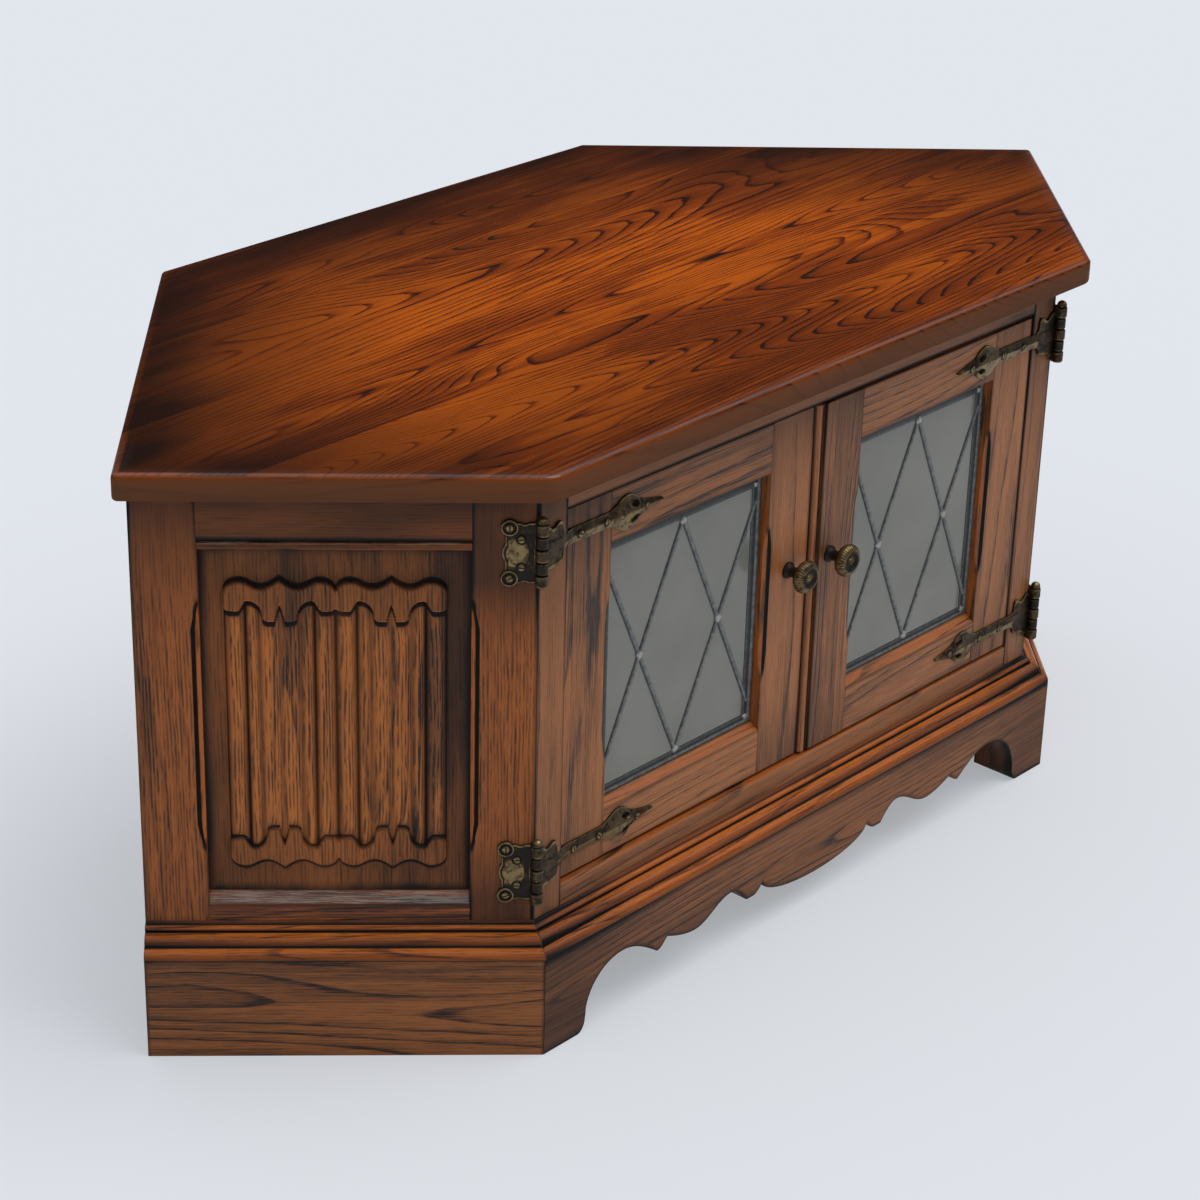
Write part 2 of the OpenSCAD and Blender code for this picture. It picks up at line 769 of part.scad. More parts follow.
module knuckles(which, bore) {
    for (i = which)
        translate([0, 0, (i - 2.5) * knuckle_len + knuckle_end_gap / 2])
            difference() {
                cylinder(r = knuckle_r, h = knuckle_len - knuckle_end_gap, $fn = 64);
                translate([0, 0, -over])
                    cylinder(r = bore, h = knuckle_len + 2 * over, $fn = 64);
            }
}

// Webs from the knuckles to the leaf; the leaf's back lies at Y = back
module knuckle_webs(which, back)
    for (i = which)
        difference() {
            translate([0, axis_off - back - leaf_t,
                       (i - 2.5) * knuckle_len + knuckle_end_gap / 2])
                cube([axis_in + leaf_start + over, leaf_t, knuckle_len - knuckle_end_gap]);
            translate([0, 0, -hinge_len])
                cylinder(r = pin_r + pin_gap + 0.5, h = 2 * hinge_len, $fn = 64);
        }

leaf_screw_places = [
    [leaf_w, -boss_pitch / 2], [leaf_w - 8.5, -boss_pitch / 4 - 1],
    [leaf_w - 8.5, boss_pitch / 4 + 1], [leaf_w, boss_pitch / 2]
];

module leaf_screw_holes(z)
    for (p = leaf_screw_places)
        translate([p[0], screw_len, z + p[1]])
            forward(screw_len + leaf_t + over)
                circle(r = screw_r + screw_gap, $fn = 32);

module leaf_outline() {
    leaf_h = hinge_len - 2 * leaf_step;
    difference() {
        translate([leaf_start, -leaf_h / 2])
            square([leaf_w - leaf_start + 3, leaf_h]);
        for (side_sign = [-1, 1])
            translate([leaf_w - boss_r - 4.5, side_sign * (leaf_h / 2 + 3.4)])
                circle(r = 4.5, $fn = 48);
    }
    for (side_sign = [-1, 1])
        translate([leaf_w, side_sign * boss_pitch / 2])
            circle(r = boss_r, $fn = 64);
    translate([leaf_w + boss_r - leaf_bulge_r - 1, 0])
        circle(r = leaf_bulge_r, $fn = 64);
}

module hinge_leaf(z) {
    difference() {
        translate([0, 0, z])
            forward(leaf_t)
                leaf_outline();
        leaf_screw_holes(z);
    }
    for (side_sign = [-1, 1])
        translate([leaf_w, -leaf_t, z + side_sign * boss_pitch / 2])
            forward(0.8)
                difference() {
                    circle(r = boss_r, $fn = 64);
                    circle(r = boss_r - 1.6, $fn = 64);
                }
    translate([-axis_in, -axis_off, z]) {
        knuckles([0, 2, 4], pin_r + screw_gap);
        knuckle_webs([0, 2, 4], 0);
    }
}

module hinge_leaves(hand) color(brass) on_side(hand)
    for (z = hinge_heights)
        hinge_leaf(z);

module hinge_pins() color(brass)
    for (hand = [-1, 1], z = hinge_heights)
        on_side(hand)
            translate([-axis_in, -axis_off, z]) {
                translate([0, 0, -hinge_len / 2])
                    cylinder(r = pin_r, h = hinge_len + over, $fn = 64);
                translate([0, 0, hinge_len / 2])
                    rotate_extrude($fn = 64)
                        polygon(concat(
                            [[0, 0], [pin_head_r, 0]],
                            arc([0, pin_rim_h], pin_head_r, 0, 90, 8)
                        ));
            }

// A round-headed screw whose head rests on Y = 0 and whose shank runs to +Y
module screw(length)
    rotate([-90, 0, 0])
        rotate_extrude($fn = 48)
            polygon(concat(
                [[0, length], [0, -screw_head_h]],
                [for (a = [75 : -15 : 0]) [screw_head_r * cos(a), -screw_head_h * sin(a)]],
                [[screw_r, 0], [screw_r, length - 1.5]]
            ));

module leaf_screws() color(brass)
    for (hand = [-1, 1], z = hinge_heights, p = leaf_screw_places)
        on_side(hand)
            translate([p[0], -leaf_t, z + p[1]])
                screw(screw_len + leaf_t - tongue_end_gap);

// Doors, in the left door's own axes: X from the hinge edge, Y in from the face, Z up
door_w = doorway_half - door_side_gap - meet_gap / 2;
door_h = door_high - door_low;
open_low = door_rail_w;
glass_low = door_rail_w + door_sill_rise;
open_high = door_h - door_top_rail_w;
door_rails = [[0, door_rail_w], [open_high, door_top_rail_w]];

function recess(hand) = hand > 0 ? right_recess : left_recess;
function meet_w(hand) = door_stile_w + (hand > 0 ? beaded_stile_extra : 0);
function pane_w(hand) = door_w - door_stile_w - meet_w(hand);

// Hinge corner of the body, with X towards the middle and Y into the cabinet
module on_hinge_corner(hand)
    placed() handed(-hand) translate([-half_w, 0, 0]) children();

module on_door(hand)
    on_hinge_corner(hand)
        translate([face_stile_w + door_side_gap, recess(hand), door_low])
            children();

module glass_rebate(hand)
    translate([door_stile_w - rebate_w, glass_depth, glass_low - rebate_w])
        cube([
            pane_w(hand) + 2 * rebate_w,
            door_t,
            open_high - glass_low + 2 * rebate_w
        ]);

// Tenons at both ends of a rail, given by its lower edge and width, or their mortises
module door_tenons(hand, rail, side_gap, end_gap) {
    reach = tenon_len - end_gap;
    for (x = [door_stile_w - reach, door_w - meet_w(hand) - over])
        translate([x, (glass_depth - tenon_t) / 2 - side_gap, rail[0] + tenon_shoulder - side_gap])
            cube([
                reach + over,
                tenon_t + 2 * side_gap,
                rail[1] - 2 * (tenon_shoulder - side_gap)
            ]);
}

module door_mortises(hand)
    for (rail = door_rails)
        door_tenons(hand, rail, tongue_gap, 0);

module strap_screw_holes()
    for (z = [hinge_inset, door_h - hinge_inset], x = strap_screw_places)
        translate([x - door_side_gap, screw_len, z])
            forward(screw_len + over)
                circle(r = screw_r + screw_gap, $fn = 32);

module door_hinge_stile(hand) color(oak) on_door(hand) difference() {
    cube([door_stile_w, door_t, door_h]);
    glass_rebate(hand);
    door_mortises(hand);
    strap_screw_holes();
    translate([door_stile_w, 0, 0])
        mirror([1, 0, 0])
            stopped_chamfer(open_low + door_chamfer_stop, open_high - door_chamfer_stop);
}

// Plan of the meeting stile: the right door's edge carries a quirked bead
module meeting_stile_plan(hand) {
    start = door_w - meet_w(hand);
    r = edge_bead_r;
    set = edge_bead_set;
    if (hand > 0)
        polygon(concat(
            [[start, door_t], [start, 0], [door_w - 2 * r - quirk, 0]],
            [[door_w - 2 * r - quirk, r + set], [door_w - 2 * r, r + set]],
            [for (a = [165 : -15 : 0]) [door_w - r + r * cos(a), r + set - r * sin(a)]],
            [[door_w, door_t]]
        ));
    else
        polygon([[start, door_t], [start, 0], [door_w, 0], [door_w, door_t]]);
}

module door_meeting_stile(hand) color(oak) on_door(hand) difference() {
    linear_extrude(door_h)
        meeting_stile_plan(hand);
    glass_rebate(hand);
    door_mortises(hand);
    translate([door_w - knob_inset, dowel_len + tongue_gap, door_h / 2 + knob_rise])
        forward(dowel_len + over)
            circle(r = dowel_r + screw_gap, $fn = 48);
    translate([door_w - meet_w(hand), 0, 0])
        stopped_chamfer(open_low + door_chamfer_stop, open_high - door_chamfer_stop);
}

module door_top_rail(hand) color(oak) on_door(hand) difference() {
    union() {
        translate([door_stile_w, 0, open_high])
            cube([pane_w(hand), door_t, door_top_rail_w]);
        door_tenons(hand, door_rails[1], 0, tongue_end_gap);
    }
    glass_rebate(hand);
    strap_screw_holes();
}

module door_bottom_rail(hand) color(oak) on_door(hand) difference() {
    union() {
        translate([door_stile_w, 0, 0])
            along_x(pane_w(hand))
                polygon([
                    [0, 0], [0, open_low], [door_sill_depth, glass_low],
                    [door_t, glass_low], [door_t, 0]
                ]);
        door_tenons(hand, door_rails[0], 0, tongue_end_gap);
    }
    glass_rebate(hand);
    strap_screw_holes();
}

module door_glass(hand) color("#7f8a88", 0.45) on_door(hand)
    translate([door_stile_w - rebate_w + glass_gap, glass_depth, glass_low - rebate_w + glass_gap])
        cube([
            pane_w(hand) + 2 * (rebate_w - glass_gap),
            glass_t,
            open_high - glass_low + 2 * (rebate_w - glass_gap)
        ]);

// Lead strips on the front of the pane: a border and two crossed pairs of diagonals
module came(a, b) {
    run = norm(b - a);
    translate([a[0], a[1]])
        rotate(atan2(b[1] - a[1], b[0] - a[0]))
            translate([0, -came_w / 2])
                square([run, came_w]);
}

module door_leading(hand) color(lead) on_door(hand) {
    wide = pane_w(hand);
    tall = open_high - glass_low;
    gap = tongue_gap;
    mid = wide / 2;
    crown = tall - top_border_w;
    translate([door_stile_w, glass_depth, glass_low]) {
        forward(came_t) {
            difference() {
                translate([gap, gap])
                    square([wide - 2 * gap, tall - 2 * gap]);
                translate([side_border_w, border_w])
                    square([wide - 2 * side_border_w, crown - border_w]);
            }
            intersection() {
                translate([gap, gap])
                    square([wide - 2 * gap, tall - 2 * gap]);
                union() {
                    came([mid, crown], [0, border_w]);
                    came([mid, crown], [wide, border_w]);
                    came([mid, border_w], [0, crown]);
                    came([mid, border_w], [wide, crown]);
                }
            }
        }
        for (p = [[mid / 2, (crown + border_w) / 2], [mid * 1.5, (crown + border_w) / 2],
                  [mid, border_w], [mid, crown]])
            translate([p[0], 0, p[1]])
                forward(came_t + solder_h)
                    circle(r = solder_r, $fn = 32);
    }
}

module door_glazing_beads(hand) color(oak) on_door(hand) {
    left = door_stile_w - rebate_w;
    right = door_w - meet_w(hand) + rebate_w;
    low = glass_low - rebate_w;
    high = open_high + rebate_w;
    near = glass_depth + glass_t;
    slope = bead_slope;
    w = glazing_bead_w;
    for (ends = [[left, 1], [right, -1]])
        translate([ends[0], 0, low])
            linear_extrude(high - low)
                polygon([
                    [0, near], [ends[1] * w, near],
                    [ends[1] * w, door_t - slope], [ends[1] * (w - slope), door_t], [0, door_t]
                ]);
    for (ends = [[low, 1], [high, -1]])
        translate([left + w, 0, ends[0]])
            along_x(right - left - 2 * w)
                polygon([
                    [near, 0], [near, ends[1] * w],
                    [door_t - slope, ends[1] * w], [door_t, ends[1] * (w - slope)], [door_t, 0]
                ]);
}

// Knob: a turned stem under a ringed head
module door_knob(hand) color(brass) on_door(hand)
    translate([door_w - knob_inset, 0, door_h / 2 + knob_rise])
        rotate([90, 0, 0]) {
            rotate_extrude($fn = 64)
                polygon(concat(
                    [[0, 0], [knob_stem_r + 2.6, 0], [knob_stem_r + 2.6, 1.4]],
                    [[knob_stem_r + 0.8, 2.8], [knob_stem_r, 5], [knob_stem_r, knob_len - 14]],
                    [[knob_stem_r + 1.6, knob_len - 12.4]],
                    arc([knob_r - bun_r, knob_len - bun_r - 1], bun_r, -75, 75, 10),
                    [[knob_r - bun_r - 1, knob_len - 0.2], [knob_r - bun_r - 2.2, knob_len]],
                    [[knob_r - bun_r - 3.4, knob_len - 1.2], [3, knob_len - 2.6]],
                    [[2.2, knob_len - 1.6], [0, knob_len - 1.2]]
                ));
            translate([0, 0, -dowel_len])
                cylinder(r = dowel_r, h = dowel_len + over, $fn = 48);
        }

// Strap: measured from the face stile's edge towards the door's middle
strap_screw_places = [15, 43.5, strap_reach - 19];
spear_start = strap_reach - spear_len;

spear_middle = spear_start + 0.36 * spear_len;
spear_neck = strap_screw_places[2] + 2;

half_spear = concat(
    [[spear_start, strap_w / 2]],
    ogee([spear_start, strap_w / 2], [spear_middle, spear_w / 2]),
    ogee([spear_middle, spear_w / 2], [spear_neck, screw_head_r + 1.5]),
    [[strap_reach, 0.4]]
);

function upside_down(points) =
    [for (i = [len(points) - 1 : -1 : 0]) [points[i][0], -points[i][1]]];

module strap_outline() {
    start = leaf_start - face_stile_w;
    plate_end = start + plate_len;
    difference() {
        translate([start, -plate_w / 2])
            square([plate_len, plate_w]);
        for (side_sign = [-1, 1]) {
            translate([plate_end + 1, side_sign * (plate_w / 4 + strap_w / 4)])
                circle(r = 5.5, $fn = 48);
            translate([plate_end - 2, side_sign * (plate_w / 2 + 1)])
                circle(r = 5, $fn = 48);
        }
    }
    polygon(concat(
        [[start, strap_w / 2]], half_spear,
        upside_down(half_spear), [[start, -strap_w / 2]]
    ));
}

// Side view of the strap, seen from above: flat on the face stile, then down onto the door
module strap_plan(set) {
    back = 0.3;
    start = leaf_start - face_stile_w;
    dome_start = strap_screw_places[1] + screw_head_r + 1;
    dome_end = strap_screw_places[2] - screw_head_r - 1;
    polygon([
        [start, -back - leaf_t], [-7, -back - leaf_t], [8, set - strap_t],
        [dome_start, set - strap_t], [dome_start + 8, set - spear_t],
        [dome_end - 8, set - spear_t], [dome_end, set - strap_t],
        [strap_reach - 6, set - strap_t],
        [strap_reach, set - strap_t / 2],
        [strap_reach, set], [door_side_gap, set],
        [0, -back], [start, -back]
    ]);
}

module strap(hand, z) color(brass) on_hinge_corner(hand) {
    translate([face_stile_w, 0, z])
        difference() {
            intersection() {
                translate([0, recess(hand) + over, 0])
                    forward(recess(hand) + spear_t + leaf_t + 3 * over)
                        strap_outline();
                translate([0, 0, -plate_w])
                    linear_extrude(2 * plate_w)
                        strap_plan(recess(hand));
            }
            for (x = strap_screw_places)
                translate([x, recess(hand) + over, 0])
                    forward(spear_t + 3 * over)
                        circle(r = screw_r + screw_gap, $fn = 32);
            for (side_sign = [-1, 1])
                translate([spear_middle + 6, recess(hand) + over, side_sign * spear_w / 5])
                    forward(spear_t + 3 * over)
                        circle(r = pierce_r, $fn = 32);
        }
    translate([-axis_in, -axis_off, z]) {
        knuckles([1, 3], pin_r + pin_gap);
        knuckle_webs([1, 3], 0.3);
    }
}

module strap_screws(hand) color(brass) on_hinge_corner(hand)
    for (z = hinge_heights, x = strap_screw_places)
        translate([face_stile_w + x, recess(hand) - strap_t, z])
            screw(screw_len + strap_t - tongue_end_gap);

// Magnetic catches behind the top rail, and their strikes on the doors
catch_x = meet_gap / 2 + 16;
module magnetic_catches() color("#c9c4b8")
    for (hand = [-1, 1])
        placed() handed(hand)
            translate([catch_x, 0, 0]) {
                near = recess(hand) + door_t + strike_t + strike_gap;
                back = near + catch_depth;
                along_x(catch_w)
                    polygon([
                        [frame_t, doorway_top + 12], [frame_t, doorway_top + 1],
                        [near, doorway_top + 1], [near, door_high - catch_drop],
                        [back, door_high - catch_drop], [back, doorway_top + 12]
                    ]);
            }

module strike_plate(hand) color("silver") on_door(hand)
    translate([door_w - 16 - catch_w, door_t, door_h - catch_drop])
        cube([catch_w, strike_t, catch_drop - 2]);

top_board();
side_rear_stile(-1);  // left_rear_stile
side_front_stile(-1);  // left_front_stile
side_top_rail(-1);  // left_top_rail
side_bottom_rail(-1);  // left_bottom_rail
linenfold_panel(-1);  // left_linenfold_panel
side_rear_stile(1);  // right_rear_stile
side_front_stile(1);  // right_front_stile
side_top_rail(1);  // right_top_rail
side_bottom_rail(1);  // right_bottom_rail
linenfold_panel(1);  // right_linenfold_panel
face_stile(-1);  // left_face_stile
face_stile(1);  // right_face_stile
face_top_rail();
face_bottom_rail();
cabinet_floor();
floor_battens();
wall_panel(-1);  // left_wall_panel
wall_panel(1);  // right_wall_panel
back_panel();
rear_post(-1);  // left_rear_post
rear_post(1);  // right_rear_post
top_blocks();
plinth_apron();
plinth_side(-1);  // plinth_left
plinth_side(1);  // plinth_right
base_moulding_front();
base_moulding_side(-1);  // base_moulding_left
base_moulding_side(1);  // base_moulding_right
hinge_leaves(-1);  // left_hinge_leaves
hinge_leaves(1);  // right_hinge_leaves
hinge_pins();
leaf_screws();
magnetic_catches();
door_hinge_stile(-1);  // left_door_hinge_stile
door_meeting_stile(-1);  // left_door_meeting_stile
door_top_rail(-1);  // left_door_top_rail
door_bottom_rail(-1);  // left_door_bottom_rail
door_glass(-1);  // left_door_glass
door_leading(-1);  // left_door_leading
door_glazing_beads(-1);  // left_door_glazing_beads
door_knob(-1);  // left_door_knob
strap(-1, hinge_heights[1]);  // left_upper_strap
strap(-1, hinge_heights[0]);  // left_lower_strap
strap_screws(-1);  // left_strap_screws
strike_plate(-1);  // left_strike_plate
door_hinge_stile(1);  // right_door_hinge_stile
door_meeting_stile(1);  // right_door_meeting_stile
door_top_rail(1);  // right_door_top_rail
door_bottom_rail(1);  // right_door_bottom_rail
door_glass(1);  // right_door_glass
door_leading(1);  // right_door_leading
door_glazing_beads(1);  // right_door_glazing_beads
door_knob(1);  // right_door_knob
strap(1, hinge_heights[1]);  // right_upper_strap
strap(1, hinge_heights[0]);  // right_lower_strap
strap_screws(1);  // right_strap_screws
strike_plate(1);  // right_strike_plate
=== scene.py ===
import math
import bpy
import numpy as np
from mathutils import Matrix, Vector


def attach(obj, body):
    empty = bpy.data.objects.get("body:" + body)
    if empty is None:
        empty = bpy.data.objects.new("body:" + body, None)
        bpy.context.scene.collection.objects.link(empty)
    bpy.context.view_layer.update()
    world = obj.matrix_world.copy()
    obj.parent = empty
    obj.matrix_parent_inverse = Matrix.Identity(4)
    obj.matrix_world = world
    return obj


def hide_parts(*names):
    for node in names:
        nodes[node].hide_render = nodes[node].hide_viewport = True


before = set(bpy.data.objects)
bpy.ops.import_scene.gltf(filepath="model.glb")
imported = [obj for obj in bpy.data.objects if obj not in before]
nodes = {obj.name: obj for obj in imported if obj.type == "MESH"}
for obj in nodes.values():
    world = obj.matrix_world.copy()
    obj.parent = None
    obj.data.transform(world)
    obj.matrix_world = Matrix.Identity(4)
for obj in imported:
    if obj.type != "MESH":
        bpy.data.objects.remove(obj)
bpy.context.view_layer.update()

# Sizes of the cabinet in millimetres: x to the right, y back from the front face, z up.
cabinet = dict(
    halfWidth=315.5,      # middle to the corner where front and side meet
    sideWidth=290.0,      # width of a side frame
    depth=479.0,          # front face to back face
    middleY=230.75,       # the row's origin lies this far behind the front face
    frameTop=459.5,       # underside of the top board
    frameThick=22.0,
)
mitre = math.tan(math.pi / 8)     # plan corners are 135 degrees
rootHalf = math.sqrt(0.5)
cornerX = cabinet["halfWidth"] + cabinet["sideWidth"] * rootHalf      # corner between side and wall
cornerY = cabinet["sideWidth"] * rootHalf


# places: local millimetres to the row frame in metres
def onSide(p, hand):
    # s along the side from the front corner, d into the cabinet, z up.
    s, d, z = p[..., 0], p[..., 1], p[..., 2]
    x = cabinet["halfWidth"] + (s - d) * rootHalf
    y = (s + d) * rootHalf - cabinet["middleY"]
    return np.stack([hand * x, y, z], -1) / 1000


def onFront(p, hand=1):
    # x to the right, y behind the front face, z up; hand -1 mirrors.
    return np.stack([hand * p[..., 0], p[..., 1] - cabinet["middleY"], p[..., 2]], -1) / 1000


door = dict(
    width=283.0, height=305.5, thick=20.0, low=127.0, hingeX=284.0,
    stile=50.0, beadedStile=56.0, rail=39.5, topRail=42.0, sillRise=6.0, sillDepth=8.0,
    rebate=8.0, rebateDepth=10.0, recess={-1: 4.0, 1: 0.5}, bead=3.8, beadSet=0.8, quirk=1.2,
    stop=42.0,             # how far a chamfer stops from the rails
)


def onDoor(p, hand):
    # x from the hinge edge, y behind the door's face, z from its lower edge.
    x = door["hingeX"] - p[..., 0]
    placed = np.stack([x, p[..., 1] + door["recess"][hand], p[..., 2] + door["low"]], -1)
    return onFront(placed, hand)


# curves
def smooth(low, high, x):
    # 0 at low, 1 at high and level at both; low may be the greater.
    t = np.clip((x - low) / (high - low), 0, 1)
    return t * t * (3 - 2 * t)


def wave(t):
    # From 0 to 1 in half a cosine wave, level at both.
    return (1 - np.cos(np.pi * t)) / 2


def roundOff(t):
    # The height of a quarter circle, from 1 where t is 0 to nothing where t is 1 and beyond.
    return np.sqrt(np.clip(1 - t * t, 0, 1))


eases = dict(
    line=(lambda t: t, lambda t: t),
    ogee=(lambda t: t, wave),                                               # level at both ends
    sweep=(lambda t: t, lambda t: 1 - np.cos(np.pi / 2 * t)),               # level, then steep
    settle=(lambda t: t, lambda t: np.sin(np.pi / 2 * t)),                  # steep, then level
    quarter=(lambda t: np.sin(np.pi / 2 * t), lambda t: 1 - np.cos(np.pi / 2 * t)),     # level, then upright
    toe=(lambda t: 1 - np.cos(np.pi / 2 * t), lambda t: np.sin(np.pi / 2 * t)),         # upright, then level
)
curveSteps = 12


def outline(start, *legs):
    # A line of points through legs (ease, x, y): each leg goes from the last point to (x, y).
    points = [np.array([start], float)]
    for ease, x, y in legs:
        a, b = points[-1][-1], np.array([x, y], float)
        n = 1 if ease == "line" else curveSteps
        t = np.arange(1, n + 1) / n
        fx, fy = eases[ease]
        points.append(np.stack([a[0] + (b[0] - a[0]) * fx(t), a[1] + (b[1] - a[1]) * fy(t)], -1))
    return np.concatenate(points)


# skins: grids of points made into meshes
def runLengths(points):
    # Distance travelled along a row of points.
    steps = np.linalg.norm(np.diff(points, axis=0), axis=-1)
    return np.concatenate([[0], np.cumsum(steps)])


def closed(points, axis=0):
    # The points with the first one repeated after the last.
    return np.concatenate([points, np.take(points, [0], axis)], axis)


def skin(grid, shade, uv=None, loop=False):
    # Quads between the rows of a grid (rows, columns, xyz). The columns go round; the rows end in two
    # caps, or come back to the first with loop. uv is metres along the rows and round the columns, worked
    # out from the grid where it isn't given.
    rows, cols = grid.shape[:2]
    i, j = np.meshgrid(np.arange(rows if loop else rows - 1), np.arange(cols), indexing="ij")
    nextI, nextJ = (i + 1) % rows, (j + 1) % cols
    quads = np.stack([i * cols + j, nextI * cols + j, nextI * cols + nextJ, i * cols + nextJ], -1)
    if uv is None:
        along, ring = runLengths(closed(grid[:, 0])), runLengths(closed(grid[rows // 2]))
        uv = np.stack(np.meshgrid(along, ring, indexing="ij"), -1)
    if uv.ndim == 3:
        uv = np.stack([uv[:-1], uv[1:]], 1)                            # (band, near or far side, column, uv)
    quadUv = np.stack([uv[i, 0, j], uv[i, 1, j], uv[i, 1, j + 1], uv[i, 0, j + 1]], -2)
    verts = grid.reshape(-1, 3)
    ends = [] if loop else [np.arange(cols), (rows - 1) * cols + np.arange(cols)[::-1]]
    shade = np.broadcast_to(shade, (rows, cols)).reshape(-1)
    capUv = [uv[0, 0, :-1], uv[-1, 1, :-1]][:len(ends)]
    if ends:
        capUv[1] = capUv[1][::-1]
    return faceOut(verts, quads.reshape(-1, 4), quadUv.reshape(-1, 4, 2), ends, shade, capUv)


def faceOut(verts, quads, quadUv, ends, shade, capUv):
    # Turns a skin so that its faces point outwards, from the sign of the volume that it holds.
    fans = [quads[:, [0, 1, 2]], quads[:, [0, 2, 3]]]
    fans += [np.stack([np.full(len(e) - 2, e[0]), e[1:-1], e[2:]], -1) for e in ends]
    tri = verts[np.concatenate(fans)]
    if np.einsum("ij,ij->", tri[:, 0], np.cross(tri[:, 1], tri[:, 2])) < 0:
        quads, quadUv = quads[:, ::-1], quadUv[:, ::-1]
        ends, capUv = [e[::-1] for e in ends], [c[::-1] for c in capUv]
    return dict(verts=verts, quads=quads, quadUv=quadUv, ends=ends, shade=shade, capUv=capUv)


wallMap = 0.004      # metres of grain on a slab's rim


def slab(front, back, shade, uv):
    # A grid as the front of a solid: its rim is carried to the back grid's rim, which is closed flat.
    rows, cols = front.shape[:2]
    index = np.arange(rows * cols).reshape(rows, cols)
    rim = np.concatenate([index[0, :-1], index[:-1, -1], index[-1, :0:-1], index[:0:-1, 0]])
    i, j = np.meshgrid(np.arange(rows - 1), np.arange(cols - 1), indexing="ij")
    quads = np.stack([index[i, j], index[i + 1, j], index[i + 1, j + 1], index[i, j + 1]], -1).reshape(-1, 4)
    quadUv = np.stack([uv[i, j], uv[i + 1, j], uv[i + 1, j + 1], uv[i, j + 1]], -2).reshape(-1, 4, 2)
    rimUv = uv.reshape(-1, 2)[rim]
    behind = rows * cols + np.arange(len(rim))
    wall = np.stack([rim, np.roll(rim, -1), np.roll(behind, -1), behind], -1)
    nextUv = np.roll(rimUv, -1, 0)
    wallUv = np.stack([rimUv, nextUv, nextUv + wallMap, rimUv + wallMap], -2)
    verts = np.concatenate([front.reshape(-1, 3), back.reshape(-1, 3)[rim]])
    shade = np.concatenate([shade.reshape(-1), shade.reshape(-1)[rim]])
    quads, quadUv = np.concatenate([quads, wall]), np.concatenate([quadUv, wallUv])
    return faceOut(verts, quads, quadUv, [behind], shade, [rimUv])


def linked(name, data):
    made = bpy.data.objects.new(name, data)
    bpy.context.scene.collection.objects.link(made)
    return made


pieceCount = 0


def makePiece(name, skins, body, finish, replaced, sharp=35, glossAndSheen=None):
    # One object from one or more skins, with its grain coordinates, shade values and sharp edges. The gloss
    # value is 1 at a glossy point with a painted highlight, and below 0 on a painted band of greyed floor
    # sheen.
    global pieceCount
    pieceCount += 1
    starts = np.cumsum([0] + [len(k["verts"]) for k in skins])
    verts = np.concatenate([k["verts"] for k in skins])
    faces, uvs = [], []
    slide = np.random.default_rng(pieceCount).uniform(0, 9, 2)        # a stretch of grain of its own
    for k, start in zip(skins, starts):
        faces += (k["quads"] + start).tolist()
        uvs.append((k["quadUv"] + slide).reshape(-1, 2))
        for e, capUv in zip(k["ends"], k["capUv"]):
            faces.append((e + start).tolist())
            uvs.append(capUv + slide)
    mesh = bpy.data.meshes.new(name)
    mesh.from_pydata(verts.tolist(), [], faces)
    mesh.uv_layers.new(name="grain").data.foreach_set("uv", np.concatenate(uvs).astype(np.float32).ravel())
    values = dict(shade=np.concatenate([k["shade"] for k in skins]))
    if glossAndSheen is not None:
        values["glossAndSheen"] = glossAndSheen.ravel()
    for word, value in values.items():
        attribute = mesh.attributes.new(word, "FLOAT", "POINT")
        attribute.data.foreach_set("value", value.astype(np.float32))
    mesh.shade_smooth()
    mesh.set_sharp_from_angle(angle=math.radians(sharp))
    mesh.materials.append(finish)
    piece = linked(name, mesh)
    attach(piece, body)
    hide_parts(*replaced)


# shader maths
class Wire:
    # A socket whose operators add Math nodes.

    def __init__(self, finish, socket):
        self.finish, self.socket = finish, socket

    def math(self, operation, *values):
        return self.finish.node("ShaderNodeMath", dict(operation=operation), list(values))

    def __add__(self, other):
        return self.math("ADD", self, other)

    def __radd__(self, other):
        return self.math("ADD", other, self)

    def __sub__(self, other):
        return self.math("SUBTRACT", self, other)

    def __rsub__(self, other):
        return self.math("SUBTRACT", other, self)

    def __mul__(self, other):
        return self.math("MULTIPLY", self, other)

    def __rmul__(self, other):
        return self.math("MULTIPLY", other, self)

    def __truediv__(self, other):
        return self.math("DIVIDE", self, other)

    def __rtruediv__(self, other):
        return self.math("DIVIDE", other, self)

    def __pow__(self, other):
        return self.math("POWER", self, other)

    def __abs__(self):
        return self.math("ABSOLUTE", self)

    def fraction(self):
        return self.math("FRACT", self)

    def sine(self):
        return self.math("SINE", self)

    def floor(self):
        return self.math("FLOOR", self)

    def step(self, low, high):
        # 0 below low, 1 above high, smooth between; low may be the greater.
        eased = dict(interpolation_type="SMOOTHSTEP")
        return self.finish.node("ShaderNodeMapRange", eased, {0: self, 1: low, 2: high})

    def clip(self):
        return self.finish.node("ShaderNodeClamp", {}, [self])


